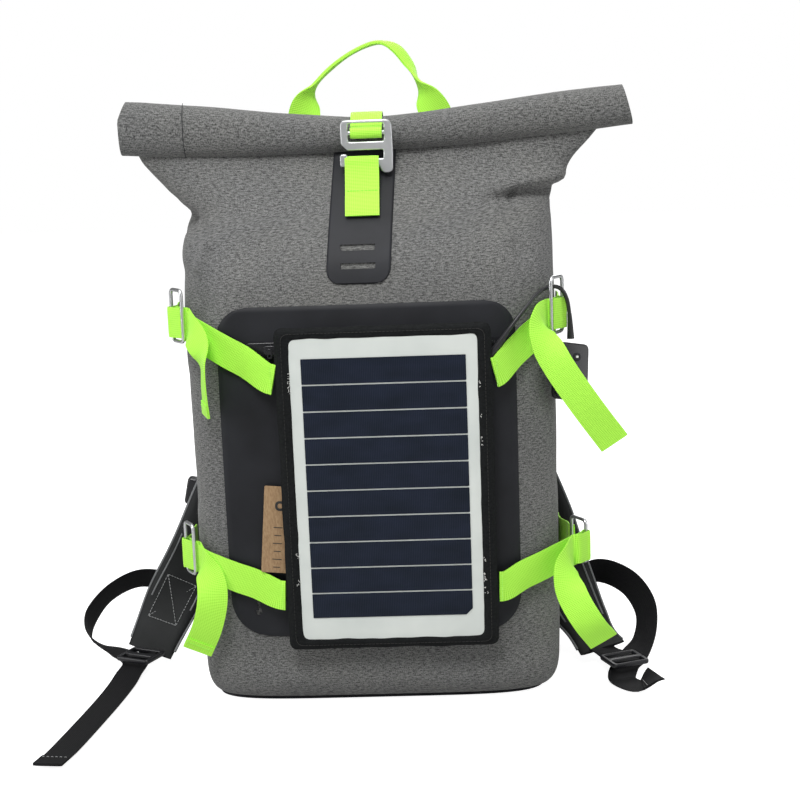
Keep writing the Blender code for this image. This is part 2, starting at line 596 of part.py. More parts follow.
def inside_pieces():
    """Back pad outside, then the stiffener sheet and the sleeve that the bag holds inside."""
    box("back_pad", (-122.0, 77.6, 34.0), (122.0, 87.6, 398.0), "pad_mesh")
    box("frame_sheet", (-105.0, 67.5, 30.0), (105.0, 69.0, 366.0), "inner_sheet")
    sleeve = box("laptop_sleeve", (-112.0, 42.0, 24.0), (112.0, 66.0, 300.0), "inner_sheet")
    carve(sleeve, box("sleeve_cutter", (-110.0, 44.0, 26.0), (110.0, 64.0, 310.0), "inner_sheet"))


def hang_tag():
    """A card tag tucked behind the panel's left edge."""
    placed = Matrix.Translation((-75.0, -92.6, 164.0)) @ Matrix.Rotation(math.pi / 2, 4, "X")
    placed = placed @ Matrix.Rotation(math.radians(-5.0), 4, "Z")
    slab("hang_tag", (34.0, 80.0), 2.0, 0.0, 0.5, placed, "kraft")


def main():
    clear_scene()
    bag_shell()
    base_panel()
    front_patches()
    zipper()
    roll_top()
    closure_strap()
    g_hook()
    hook_loop()
    haul_handle()
    side_straps()
    solar_panel()
    solar_lead()
    regulator()
    carrying_straps()
    ladder_lock("ladder_lock_left", (-234.0, 12.0, 9.8), math.radians(-4.0))
    ladder_lock("ladder_lock_right", (220.0, -20.0, 10.6), math.radians(22.0))
    inside_pieces()
    hang_tag()


main()
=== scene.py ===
"""Looks of the roll-top solar backpack: every piece's surface, seams and materials.

Lengths in the shape tables are in millimetres, as in the model's own tables.
"""

import math

import bmesh
import bpy
from mathutils import Matrix, Vector, noise


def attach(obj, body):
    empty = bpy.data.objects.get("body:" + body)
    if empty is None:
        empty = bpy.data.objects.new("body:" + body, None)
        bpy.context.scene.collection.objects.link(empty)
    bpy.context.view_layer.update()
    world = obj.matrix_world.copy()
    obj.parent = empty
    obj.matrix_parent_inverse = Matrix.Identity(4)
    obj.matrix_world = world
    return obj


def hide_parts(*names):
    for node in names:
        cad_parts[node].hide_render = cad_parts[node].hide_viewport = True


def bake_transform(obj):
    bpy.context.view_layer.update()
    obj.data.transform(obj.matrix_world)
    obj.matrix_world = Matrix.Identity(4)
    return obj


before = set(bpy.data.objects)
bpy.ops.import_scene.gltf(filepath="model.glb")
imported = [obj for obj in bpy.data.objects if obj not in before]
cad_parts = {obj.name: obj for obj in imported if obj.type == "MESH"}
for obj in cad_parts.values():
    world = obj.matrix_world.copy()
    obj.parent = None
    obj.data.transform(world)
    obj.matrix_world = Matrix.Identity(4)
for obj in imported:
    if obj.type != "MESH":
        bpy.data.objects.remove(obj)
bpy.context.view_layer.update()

WEBBING = 26.0
WEBBING_THICKNESS = 1.4
CORD_DIAMETER = 3.5
PANEL_SIZE = (178.0, 279.0)
LAMINATE_SIZE = (156.0, 265.0)
PANEL_CENTRE = (15.0, -97.5, 196.5)
PANEL_LEAN = math.radians(2.0)
CELL_SIZE = (136.5, 21.5)
CELL_PITCH = 22.7
ZIP_HEIGHT = 317.0
TAG_SIZE = (34.0, 76.0)
KEEPER_SIZE = (16.0, 27.0)  # of the black keeper on the left pad's outer edge
KEEPER_PLACE = (-183.0, 152.0)  # x and z of its middle
WORLD_LIGHT = 0.21  # how strongly the white surroundings light the bag
FLOOR_GLOW = 0.92  # what the camera sees of the floor besides its own light

# Height, half width, front, back and squareness of the bag, base to neck
BODY_SECTIONS = (
    (2.6, 146.0, -66.0, 64.0, 5.0), (6.0, 154.0, -74.0, 71.0, 5.0),
    (18.0, 160.0, -79.0, 75.0, 5.0), (40.0, 162.0, -81.0, 77.0, 5.0),
    (100.0, 162.5, -84.0, 77.0, 4.8), (200.0, 162.5, -88.0, 77.0, 4.6),
    (300.0, 162.5, -88.0, 77.0, 4.5), (350.0, 162.0, -83.0, 77.0, 4.2),
    (385.0, 161.0, -74.0, 75.0, 3.8), (412.0, 160.0, -58.0, 67.0, 3.4),
    (430.0, 160.0, -44.0, 56.0, 3.1), (446.0, 169.0, -31.0, 44.0, 2.9),
    (460.0, 182.0, -19.0, 31.0, 2.8), (472.0, 194.0, -9.0, 14.0, 2.8),
    (486.0, 204.0, -4.0, 6.0, 2.8),
)
# Change in half width on the bag's left and right of the table above, by height
SIDE_CHANGES = (
    (0.0, -3.0, 0.0), (40.0, -4.5, -1.0), (300.0, -4.5, 0.0), (350.0, -2.5, 0.5), (395.0, 1.0, 1.0),
    (408.0, 0.0, 1.5), (418.0, -2.0, 2.0), (428.0, -5.5, 2.0), (436.0, -1.0, 1.0), (441.0, 0.0, -1.0),
    (447.0, 2.0, 5.0), (454.0, 2.0, 1.0), (462.0, 2.0, 0.0), (474.0, 0.0, 4.0), (486.0, -2.0, 10.0),
)
# x, centre y, centre z, half depth and half height of the roll along its length
ROLL_SECTIONS = (
    (-211.0, 0.0, 503.3, 15.0, 25.5), (-190.0, 0.0, 502.0, 17.0, 25.5),
    (-150.0, -1.0, 499.0, 18.0, 24.3), (-100.0, -2.0, 495.8, 19.0, 22.0),
    (-50.0, -3.0, 493.0, 19.5, 18.9), (0.0, -3.0, 491.2, 19.5, 16.0),
    (50.0, -3.0, 492.7, 19.5, 17.0), (100.0, -2.0, 497.0, 19.0, 18.5),
    (150.0, -1.0, 502.2, 18.0, 19.3), (200.0, 0.0, 506.6, 17.0, 19.3),
    (229.0, 0.0, 509.0, 16.0, 18.8),
)
# Folds on the front of the bag: two ends (x, z), half width, and height (below 0 a valley)
FOLDS = (
    ((-172, 428), (-136, 412), 7, -8.5), ((-130, 420), (-131, 404), 5, 5.0),
    ((-131, 404), (-142, 384), 6, 4.0), ((-176, 462), (-140, 424), 12, -3.0),
    ((-106, 372), (-128, 328), 17, 4.6), ((-152, 380), (-136, 350), 13, -3.6),
    ((-112, 458), (-84, 424), 20, 3.0), ((172, 438), (128, 435), 4.5, -9.0),
    ((128, 435), (106, 431), 5, -5.5),
    ((166, 450), (116, 444), 8, 6.0), ((108, 428), (122, 402), 6, 4.4),
    ((120, 422), (136, 388), 9, -3.6), ((126, 398), (138, 350), 14, 2.6), ((60, 464), (98, 442), 18, 2.4),
    ((-60, 440), (-80, 400), 24, -1.6), ((152, 300), (152, 190), 14, -1.2),
    ((-150, 290), (-150, 180), 12, -1.2),
    ((-140, 58), (-60, 36), 13, -1.6), ((60, 34), (140, 50), 13, -1.6), ((-90, 22), (90, 20), 9, 1.4),
)


# ---------------------------------------------------------------- camera, light and floor

def aimed_camera():
    pitch, yaw, roll = math.radians(10.5), math.radians(2.0), math.radians(2.1)
    ahead = Vector((-math.sin(yaw) * math.cos(pitch), math.cos(yaw) * math.cos(pitch), -math.sin(pitch)))
    right = ahead.cross(Vector((0, 0, 1))).normalized()
    up = right.cross(ahead)
    rolled_right = right * math.cos(roll) - up * math.sin(roll)
    rolled_up = up * math.cos(roll) + right * math.sin(roll)
    data = bpy.data.cameras.new("camera")
    data.sensor_width = 36.0
    data.lens = 70.07
    camera = bpy.data.objects.new("camera", data)
    bpy.context.scene.collection.objects.link(camera)
    axes = Matrix((rolled_right, rolled_up, -ahead)).transposed().to_4x4()
    camera.matrix_world = Matrix.Translation((0.0721, -1.3725, 0.5089)) @ axes
    bpy.context.scene.camera = camera


def area_light(name, place, target, size, power):
    data = bpy.data.lights.new(name, "AREA")
    data.size = size
    data.energy = power
    lamp = bpy.data.objects.new(name, data)
    bpy.context.scene.collection.objects.link(lamp)
    lamp.location = place
    lamp.rotation_euler = (Vector(target) - Vector(place)).to_track_quat("-Z", "Y").to_euler()


def studio():
    world = bpy.data.worlds.new("studio")
    bpy.context.scene.world = world
    world.use_nodes = True
    nodes, links = world.node_tree.nodes, world.node_tree.links
    background = nodes["Background"]
    seen = nodes.new("ShaderNodeLightPath")
    strength = math_node(nodes, links, "MULTIPLY_ADD", seen.outputs["Is Camera Ray"], 1.0 - WORLD_LIGHT)
    strength.node.inputs[2].default_value = WORLD_LIGHT
    background.inputs["Color"].default_value = (1.0, 1.0, 1.0, 1.0)
    links.new(strength, background.inputs["Strength"])
    area_light("key", (-0.3, -1.4, 2.05), (0, 0, 0.3), 0.8, 35.0)
    area_light("fill", (1.1, -1.8, 0.8), (0, 0, 0.25), 1.4, 3.0)
    area_light("side_left", (-1.7, -0.6, 0.7), (0, 0, 0.25), 1.0, 11.0)
    area_light("side_right", (1.7, -0.5, 0.7), (0, 0, 0.25), 1.0, 7.0)
    area_light("top", (0.0, 0.0, 1.9), (0, 0, 0.2), 1.5, 14.0)
    area_light("back", (0.5, 1.9, 1.3), (0, 0, 0.3), 1.2, 16.0)
    bpy.context.scene.view_settings.view_transform = "Standard"
    bpy.ops.object.select_all(action="DESELECT")
    bpy.ops.mesh.primitive_plane_add(size=12.0, location=(0.0, 0.0, -0.0006))
    floor = bpy.context.object
    floor.name = "floor"
    paint, nodes, links, shader = new_material("floor_white", (0.55, 0.55, 0.55), 0.9)
    seen = nodes.new("ShaderNodeLightPath")
    shader.inputs["Emission Color"].default_value = (1.0, 1.0, 1.0, 1.0)
    glow = math_node(nodes, links, "MULTIPLY", seen.outputs["Is Camera Ray"], FLOOR_GLOW)
    links.new(glow, shader.inputs["Emission Strength"])
    floor.data.materials.append(paint)
    shader.inputs["Specular IOR Level"].default_value = 0.1


# ---------------------------------------------------------------- materials

def new_material(name, colour, roughness, metallic=0.0):
    paint = bpy.data.materials.new(name)
    paint.use_nodes = True
    nodes, links = paint.node_tree.nodes, paint.node_tree.links
    shader = nodes["Principled BSDF"]
    shader.inputs["Base Color"].default_value = (*colour, 1.0)
    shader.inputs["Roughness"].default_value = roughness
    shader.inputs["Metallic"].default_value = metallic
    return paint, nodes, links, shader


def placed_texture(nodes, links, kind, source, stretch, **settings):
    """A texture node fed by source coordinates, scaled per axis by stretch."""
    coordinates = nodes.new("ShaderNodeTexCoord")
    mapping = nodes.new("ShaderNodeMapping")
    mapping.inputs["Scale"].default_value = stretch
    links.new(coordinates.outputs[source], mapping.inputs["Vector"])
    texture = nodes.new(kind)
    links.new(mapping.outputs["Vector"], texture.inputs["Vector"])
    for key, value in settings.items():
        if key in texture.inputs:
            texture.inputs[key].default_value = value
        else:
            setattr(texture, key, value)
    return texture


def ramp_between(nodes, links, value, low, high, start=0.3, end=0.7):
    ramp = nodes.new("ShaderNodeValToRGB")
    ramp.color_ramp.elements[0].position = start
    ramp.color_ramp.elements[1].position = end
    ramp.color_ramp.elements[0].color = (*low, 1.0)
    ramp.color_ramp.elements[1].color = (*high, 1.0)
    links.new(value, ramp.inputs["Fac"])
    return ramp.outputs["Color"]


def math_node(nodes, links, operation, a, b):
    node = nodes.new("ShaderNodeMath")
    node.operation = operation
    for socket, value in zip(node.inputs, (a, b)):
        if isinstance(value, (int, float)):
            socket.default_value = value
        else:
            links.new(value, socket)
    return node.outputs[0]


def mix_colour(nodes, links, factor, a, b, blend="MIX"):
    node = nodes.new("ShaderNodeMix")
    node.data_type = "RGBA"
    node.blend_type = blend
    for socket, value in ((node.inputs[0], factor), (node.inputs[6], a), (node.inputs[7], b)):
        if isinstance(value, (int, float)):
            socket.default_value = value
        elif isinstance(value, tuple):
            socket.default_value = (*value, 1.0)
        else:
            links.new(value, socket)
    return node.outputs[2]


def bump(nodes, links, shader, height, strength, distance):
    node = nodes.new("ShaderNodeBump")
    node.inputs["Strength"].default_value = strength
    node.inputs["Distance"].default_value = distance
    links.new(height, node.inputs["Height"])
    links.new(node.outputs["Normal"], shader.inputs["Normal"])


def heather_fabric(name, dark, light, source="UV"):
    """Coated melange polyester: light and dark yarns in a fine plain weave."""
    paint, nodes, links, shader = new_material(name, light, 0.82)
    across = placed_texture(nodes, links, "ShaderNodeTexNoise", source, (230.0, 950.0, 950.0),
                            Scale=1.0, Detail=3.0, Roughness=0.7)
    along = placed_texture(nodes, links, "ShaderNodeTexNoise", source, (1200.0, 700.0, 700.0),
                           Scale=1.0, Detail=3.0, Roughness=0.7)
    cloud = placed_texture(nodes, links, "ShaderNodeTexNoise", source, (9.0, 9.0, 9.0),
                           Scale=1.0, Detail=3.0, Roughness=0.6)
    yarns = math_node(nodes, links, "ADD", across.outputs["Fac"], along.outputs["Fac"])
    yarns = math_node(nodes, links, "MULTIPLY", yarns, 0.5)
    colour = ramp_between(nodes, links, yarns, dark, light, 0.41, 0.59)
    shade = ramp_between(nodes, links, cloud.outputs["Fac"], (0.9, 0.9, 0.92), (1.05, 1.04, 1.02))
    links.new(mix_colour(nodes, links, 1.0, colour, shade, "MULTIPLY"), shader.inputs["Base Color"])
    warp = placed_texture(nodes, links, "ShaderNodeTexWave", source, (1000.0, 1000.0, 1000.0),
                          Scale=0.28, bands_direction="X", Distortion=0.6)
    weft = placed_texture(nodes, links, "ShaderNodeTexWave", source, (1000.0, 1000.0, 1000.0),
                          Scale=0.28, bands_direction="Y", Distortion=0.6)
    weave = math_node(nodes, links, "MULTIPLY", warp.outputs["Fac"], weft.outputs["Fac"])
    height = math_node(nodes, links, "ADD", weave, yarns)
    bump(nodes, links, shader, height, 0.45, 0.0003)
    shader.inputs["Sheen Weight"].default_value = 0.15
    shader.inputs["Sheen Roughness"].default_value = 0.5
    shader.inputs["Specular IOR Level"].default_value = 0.3
    return paint


def ribbed_webbing(name, groove, crown, roughness, spec):
    """Flat-woven webbing: ribs across its length, with the wave of its binder yarns, and painted shade
    darkening the grooves between them.
    """
    paint, nodes, links, shader = new_material(name, crown, roughness)
    ribs = placed_texture(nodes, links, "ShaderNodeTexWave", "UV", (1000.0, 1000.0, 1000.0),
                          Scale=0.24, bands_direction="Y", Distortion=0.8)
    binders = placed_texture(nodes, links, "ShaderNodeTexWave", "UV", (1000.0, 1000.0, 1000.0),
                             Scale=0.17, bands_direction="X", Distortion=0.5)
    fibres = placed_texture(nodes, links, "ShaderNodeTexNoise", "UV", (900.0, 2600.0, 1.0),
                            Scale=1.0, Detail=2.0)
    height = math_node(nodes, links, "MULTIPLY", ribs.outputs["Fac"], 0.75)
    for yarns, share in ((binders, 0.35), (fibres, 0.25)):
        part = math_node(nodes, links, "MULTIPLY", yarns.outputs["Fac"], share)
        height = math_node(nodes, links, "ADD", height, part)
    # painted shade: the rib height also picks the colour, so the grooves take the darker groove colour and
    # the crowns the webbing's own colour
    links.new(ramp_between(nodes, links, height, groove, crown, 0.25, 0.75), shader.inputs["Base Color"])
    bump(nodes, links, shader, height, 0.5, 0.00035)
    shader.inputs["Specular IOR Level"].default_value = spec
    shader.inputs["Sheen Weight"].default_value = 0.1
    return paint


def grained(name, dark, light, roughness, scale, strength, spec=0.5, source="Object", metallic=0.0):
    """A moulded or coated surface: faint mottling and a fine grain."""
    paint, nodes, links, shader = new_material(name, light, roughness, metallic)
    grain = placed_texture(nodes, links, "ShaderNodeTexNoise", source, (scale, scale, scale),
                           Scale=1.0, Detail=4.0, Roughness=0.6)
    cloud = placed_texture(nodes, links, "ShaderNodeTexNoise", source, (25.0, 25.0, 25.0),
                           Scale=1.0, Detail=3.0)
    links.new(ramp_between(nodes, links, cloud.outputs["Fac"], dark, light), shader.inputs["Base Color"])
    uneven = math_node(nodes, links, "MULTIPLY_ADD", grain.outputs["Fac"], 0.25)
    uneven.node.inputs[2].default_value = roughness - 0.12
    links.new(uneven, shader.inputs["Roughness"])
    bump(nodes, links, shader, grain.outputs["Fac"], strength, 0.0002)
    shader.inputs["Specular IOR Level"].default_value = spec
    return paint


def mesh_cloth(name, dark, light, pitch):
    """Spacer mesh: a close net of small open cells, their insides darkened with painted shade."""
    paint, nodes, links, shader = new_material(name, light, 0.9)
    cells = placed_texture(nodes, links, "ShaderNodeTexVoronoi", "Object", (1000.0, 1000.0, 1000.0),
                           Scale=1.0 / pitch, Randomness=0.25)
    # painted shade: the cell distance that sinks the holes in the bump also colours them dark
    links.new(ramp_between(nodes, links, cells.outputs["Distance"], dark, light, 0.15, 0.5),
              shader.inputs["Base Color"])
    bump(nodes, links, shader, cells.outputs["Distance"], 0.7, 0.0006)
    shader.inputs["Specular IOR Level"].default_value = 0.25
    return paint


def cell_glass(name):
    """Silicon strip under clear film: navy, with faint fingers and a soft patchy tint."""
    paint, nodes, links, shader = new_material(name, (0.012, 0.014, 0.032), 0.4)
    fingers = placed_texture(nodes, links, "ShaderNodeTexWave", "Object", (1000.0, 1000.0, 1000.0),
                             Scale=0.21, bands_direction="X")
    patch = placed_texture(nodes, links, "ShaderNodeTexNoise", "Object", (30.0, 30.0, 60.0),
                           Scale=1.0, Detail=3.0)
    base = ramp_between(nodes, links, patch.outputs["Fac"], (0.007, 0.011, 0.019), (0.012, 0.017, 0.032))
    lines = ramp_between(nodes, links, fingers.outputs["Fac"], (0.0, 0.0, 0.0), (0.012, 0.013, 0.02),
                         0.85, 0.98)
    links.new(mix_colour(nodes, links, 1.0, base, lines, "ADD"), shader.inputs["Base Color"])
    shader.inputs["Specular IOR Level"].default_value = 0.12
    shader.inputs["Coat Weight"].default_value = 0.03
    shader.inputs["Coat Roughness"].default_value = 0.12
    return paint


def card(name):
    """Kraft card with its fibres."""
    paint, nodes, links, shader = new_material(name, (0.33, 0.21, 0.11), 0.85)
    fibres = placed_texture(nodes, links, "ShaderNodeTexNoise", "Object", (900.0, 900.0, 300.0),
                            Scale=1.0, Detail=4.0)
    links.new(ramp_between(nodes, links, fibres.outputs["Fac"], (0.26, 0.16, 0.08), (0.38, 0.25, 0.135)),
              shader.inputs["Base Color"])
    bump(nodes, links, shader, fibres.outputs["Fac"], 0.2, 0.0001)
    return paint


def unlit_nap(paint):
    """Black cloth without the pale nap that sheen would give it."""
    shader = paint.node_tree.nodes["Principled BSDF"]
    shader.inputs["Sheen Weight"].default_value = 0.0
    shader.inputs["Specular IOR Level"].default_value = 0.15
    return paint


def make_materials():
    return {
        "fabric": heather_fabric("heather_fabric", (0.035, 0.036, 0.035), (0.232, 0.234, 0.228)),
        "tpu": grained("black_film", (0.011, 0.0115, 0.014), (0.017, 0.018, 0.022), 0.55, 2200.0, 0.12, 0.25),
        # the first colour of each webbing below is painted shade in its rib grooves
        "green": ribbed_webbing("green_webbing", (0.3, 0.8, 0.035), (0.5, 0.98, 0.1), 0.62, 0.2),
        "black": unlit_nap(ribbed_webbing("black_webbing", (0.004, 0.004, 0.005), (0.011, 0.011, 0.012),
                                          0.7, 0.2)),
        # the mesh's first colour is painted shade inside its open cells
        "mesh": mesh_cloth("pad_mesh", (0.004, 0.004, 0.005), (0.02, 0.021, 0.022), 1.3),
        "pad": grained("pad_cover", (0.008, 0.009, 0.009), (0.017, 0.018, 0.019), 0.7, 3500.0, 0.5, 0.3),
        "piping": grained("grey_piping", (0.13, 0.135, 0.14), (0.2, 0.205, 0.21), 0.5, 1800.0, 0.3, 0.4),
        "plastic": grained("black_plastic", (0.008, 0.008, 0.01), (0.014, 0.014, 0.017), 0.3, 1500.0, 0.1),
        "aluminium": grained("satin_aluminium", (0.55, 0.56, 0.57), (0.66, 0.67, 0.68), 0.42, 3000.0, 0.15,
                             metallic=0.9),
        "steel": grained("bright_wire", (0.62, 0.63, 0.64), (0.74, 0.75, 0.76), 0.3, 2500.0, 0.1,
                         metallic=1.0),
        "border": unlit_nap(heather_fabric("panel_border", (0.005, 0.006, 0.006), (0.012, 0.013, 0.014),
                                           "Object")),
        "laminate": grained("pale_laminate", (0.62, 0.66, 0.63), (0.7, 0.735, 0.7), 0.38, 700.0, 0.1),
        "cell": cell_glass("solar_cell"),
        "card": card("kraft_card"),
        "ink": grained("print", (0.02, 0.02, 0.02), (0.035, 0.033, 0.03), 0.8, 900.0, 0.1),
        "thread_green": grained("green_thread", (0.3, 0.85, 0.05), (0.5, 1.0, 0.18), 0.6, 4000.0, 0.2),
        "thread_grey": grained("grey_thread", (0.3, 0.31, 0.31), (0.45, 0.46, 0.46), 0.6, 4000.0, 0.2),
        "thread_white": grained("white_thread", (0.6, 0.6, 0.58), (0.75, 0.75, 0.72), 0.7, 4000.0, 0.2),
        "cord": grained("cord_sleeve", (0.01, 0.01, 0.011), (0.018, 0.018, 0.02), 0.38, 1800.0, 0.1),
        "sheet": grained("inner_sheet", (0.03, 0.03, 0.033), (0.045, 0.045, 0.05), 0.6, 900.0, 0.2),
        "board": grained("board", (0.012, 0.02, 0.014), (0.02, 0.032, 0.022), 0.5, 800.0, 0.1),
    }


# ---------------------------------------------------------------- shape helpers

def smooth_path(points, steps):
    """Catmull-Rom points through the given ones, steps to each stretch."""
    points = [Vector(p) for p in points]
    ends = [2 * points[0] - points[1], *points, 2 * points[-1] - points[-2]]
    found = []
    for a, b, c, d in zip(ends, ends[1:], ends[2:], ends[3:]):
        for step in range(steps):
            t = step / steps
            found.append(
                0.5 * (2 * b + (c - a) * t + (2 * a - 5 * b + 4 * c - d) * t**2
                       + (3 * b - a - 3 * c + d) * t**3)
            )
    return [*found, points[-1]]


def table_at(rows, where):
    """A table's values at where, its first column, eased through its rows."""
    where = min(max(where, rows[0][0]), rows[-1][0])
    for i in range(len(rows) - 1):
        if where <= rows[i + 1][0]:
            break
    a, b = rows[i], rows[i + 1]
    before, after = rows[max(i - 1, 0)], rows[min(i + 2, len(rows) - 1)]
    span = b[0] - a[0]
    t = (where - a[0]) / span
    found = []
    for k in range(1, len(a)):
        low = (b[k] - before[k]) / (b[0] - before[0]) * span
        high = (after[k] - a[k]) / (after[0] - a[0]) * span
        found.append((2 * t**3 - 3 * t**2 + 1) * a[k] + (t**3 - 2 * t**2 + t) * low
                     + (3 * t**2 - 2 * t**3) * b[k] + (t**3 - t**2) * high)
    return found


def make(name, points, faces, paint, body, replaces=(), uvs=None, sharp=35):
    """A piece from points in millimetres, its normals outward, riding on a body."""
    mesh = bpy.data.meshes.new(name)
    mesh.from_pydata([Vector(p) * 0.001 for p in points], [], faces)
    if uvs:
        layer = mesh.uv_layers.new(name="UVMap")
        for loop in mesh.loops:
            layer.data[loop.index].uv = uvs[loop.vertex_index]
    shape = bmesh.new()
    shape.from_mesh(mesh)
    bmesh.ops.recalc_face_normals(shape, faces=shape.faces)
    shape.to_mesh(mesh)
    shape.free()
    mesh.materials.append(PAINTS[paint])
    mesh.shade_smooth()
    mesh.set_sharp_from_angle(angle=math.radians(sharp))
    piece = bpy.data.objects.new(name, mesh)
    bpy.context.scene.collection.objects.link(piece)
    if body:
        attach(piece, body)
    if replaces:
        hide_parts(*replaces)
    return piece


def grid_faces(rows, columns, closed=False):
    """Quads over rows of columns points, the last column meeting the first where closed."""
    wide = columns if closed else columns - 1
    return [(i * columns + j, i * columns + (j + 1) % columns,
             (i + 1) * columns + (j + 1) % columns, (i + 1) * columns + j)
            for i in range(rows - 1) for j in range(wide)]


def joined(parts):
    """Points and faces of several (points, faces) as one."""
    points, faces = [], []
    for more_points, more_faces in parts:
        start = len(points)
        points += more_points
        faces += [tuple(i + start for i in face) for face in more_faces]
    return points, faces


def tube(path, radius, sides=10, flatten=1.0, closed=False):
    """A round or oval wire along a path, and its caps."""
    count = len(path)
    rings = []
    normal = None
    for i, at in enumerate(path):
        if closed:
            ahead = path[(i + 1) % count] - path[i - 1]
        else:
            ahead = path[min(i + 1, count - 1)] - path[max(i - 1, 0)]
        ahead = ahead.normalized()
        if normal is None:
            normal = ahead.orthogonal().normalized()
        normal = (normal - ahead * normal.dot(ahead)).normalized()
        side = ahead.cross(normal)
        size = radius[i] if isinstance(radius, list) else radius
        rings += [at + size * (normal * math.cos(a) * flatten + side * math.sin(a))
                  for a in (2 * math.pi * k / sides for k in range(sides))]
    faces = grid_faces(count, sides, closed=True)
    if closed:
        last = (count - 1) * sides
        faces += [(last + j, last + (j + 1) % sides, (j + 1) % sides, j) for j in range(sides)]
    else:
        faces += [tuple(range(sides)), tuple(range((count - 1) * sides, count * sides))]
    return rings, faces


def strip(stations, width, thickness, steps=8, crown=0.0, across_points=9, edge=0.35):
    """Webbing or a pad along stations: (points, faces, uvs), with rounded edges and a crown."""
    widths = width if isinstance(width, (list, tuple)) else [width] * len(stations)
    centres = smooth_path([p for p, _ in stations], steps)
    acrosses = smooth_path([Vector(w).normalized() for _, w in stations], steps)
    spans = [v.x for v in smooth_path([(w, 0.0, 0.0) for w in widths], steps)]
    profile = []
    for k in range(across_points):
        u = -1 + 2 * k / (across_points - 1)
        profile.append((u, crown * (1 - u * u) + thickness / 2 * (1 - abs(u) ** 12 * edge)))
    under = []
    for u, h in reversed(profile):
        hollow = -thickness / 2 * (1 - abs(u) ** 12 * edge) - crown * 0.5 * (1 - u * u)
        under.append((u, -h if crown == 0 else hollow))
    profile = profile + under
    points, uvs = [], []
    run = 0.0
    for i, centre in enumerate(centres):
        ahead = centres[min(i + 1, len(centres) - 1)] - centres[max(i - 1, 0)]
        if i:
            run += (centre - centres[i - 1]).length
        side = acrosses[i] - acrosses[i].project(ahead)
        side = side.normalized()
        up = ahead.cross(side).normalized()
        for u, h in profile:
            points.append(centre + side * u * spans[i] / 2 + up * h)
            uvs.append((u * spans[i] / 2 * 0.001, run * 0.001))
    size = len(profile)
    faces = grid_faces(len(centres), size, closed=True)
    faces += [tuple(range(size)), tuple(range(len(points) - size, len(points)))]
    return points, faces, uvs


def frames_along(stations, steps=8):
    """Centre, width direction and face normal at each step of a strip."""
    centres = smooth_path([p for p, _ in stations], steps)
    acrosses = smooth_path([Vector(w).normalized() for _, w in stations], steps)
    found = []
    for i, centre in enumerate(centres):
        ahead = (centres[min(i + 1, len(centres) - 1)] - centres[max(i - 1, 0)]).normalized()
        side = (acrosses[i] - acrosses[i].project(ahead)).normalized()
        found.append((centre, side, ahead.cross(side).normalized(), ahead))
    return found


def seam(corners, normals, pitch=3.0, length=2.2, radius=0.28):
    """Stitches along a line of points: short threads that dip at both ends."""
    parts = []
    for (a, b), (na, nb) in zip(zip(corners, corners[1:]), zip(normals, normals[1:])):
        span = (b - a).length
        count = max(1, int(span / pitch))
        ahead = (b - a).normalized()
        for i in range(count):
            middle = a.lerp(b, (i + 0.5) / count)
            up = na.lerp(nb, (i + 0.5) / count).normalized()
            path = [middle + ahead * length * t + up * lift
                    for t, lift in ((-0.5, -0.15), (-0.25, 0.2), (0.25, 0.2), (0.5, -0.15))]
            parts.append(tube(path, radius, 5))
    return joined(parts)


def outline_plate(name, outlines, thickness, bevel, placed, paint, body, replaces=(), segments=3):
    """A plate with rounded edges from closed outlines, the first its rim and the others holes."""
    curve = bpy.data.curves.new(name, "CURVE")
    curve.dimensions = "2D"
    curve.fill_mode = "BOTH"
    curve.extrude = (thickness / 2 - bevel) * 0.001
    curve.bevel_depth = bevel * 0.001
    curve.bevel_resolution = segments
    curve.offset = -bevel * 0.001
    for outline in outlines:
        spline = curve.splines.new("POLY")
        spline.use_cyclic_u = True
        spline.points.add(len(outline) - 1)
        for point, (x, y) in zip(spline.points, outline):
            point.co = (x * 0.001, y * 0.001, 0.0, 1.0)
    source = bpy.data.objects.new(name + "_outline", curve)
    bpy.context.scene.collection.objects.link(source)
    graph = bpy.context.evaluated_depsgraph_get()
    mesh = bpy.data.meshes.new_from_object(source.evaluated_get(graph))
    bpy.data.objects.remove(source, do_unlink=True)
    points = [placed @ (v.co * 1000) for v in mesh.vertices]
    faces = [tuple(p.vertices) for p in mesh.polygons]
    welded = bmesh.new()
    for p in points:
        welded.verts.new(p)
    welded.verts.ensure_lookup_table()
    for face in faces:
        if len(set(face)) > 2:
            welded.faces.new([welded.verts[i] for i in face])
    bmesh.ops.remove_doubles(welded, verts=welded.verts, dist=0.001)
    welded.verts.index_update()
    points = [v.co.copy() for v in welded.verts]
    faces = [tuple(v.index for v in f.verts) for f in welded.faces]
    welded.free()
    bpy.data.meshes.remove(mesh)
    return make(name, points, faces, paint, body, replaces, sharp=30)


def filleted(corners, steps=6):
    """Corners (x, y, radius) as an outline with each corner rounded to its radius."""
    found = []
    count = len(corners)
    for i, (x, y, radius) in enumerate(corners):
        at = Vector((x, y))
        to_last = Vector(corners[i - 1][:2]) - at
        to_next = Vector(corners[(i + 1) % count][:2]) - at
        half = to_last.angle(to_next) / 2
        reach = min(radius / math.tan(half), to_last.length * 0.49, to_next.length * 0.49)
        start, end = at + to_last.normalized() * reach, at + to_next.normalized() * reach
        for step in range(steps + 1):
            t = step / steps
            found.append(tuple(start * (1 - t) ** 2 + at * 2 * t * (1 - t) + end * t**2))
    return found


def round_rectangle(width, height, radius, x=0.0, y=0.0):
    w, h = width / 2, height / 2
    return filleted([(x + w, y + h, radius), (x - w, y + h, radius),
                     (x - w, y - h, radius), (x + w, y - h, radius)])


# ---------------------------------------------------------------- the bag's fabric

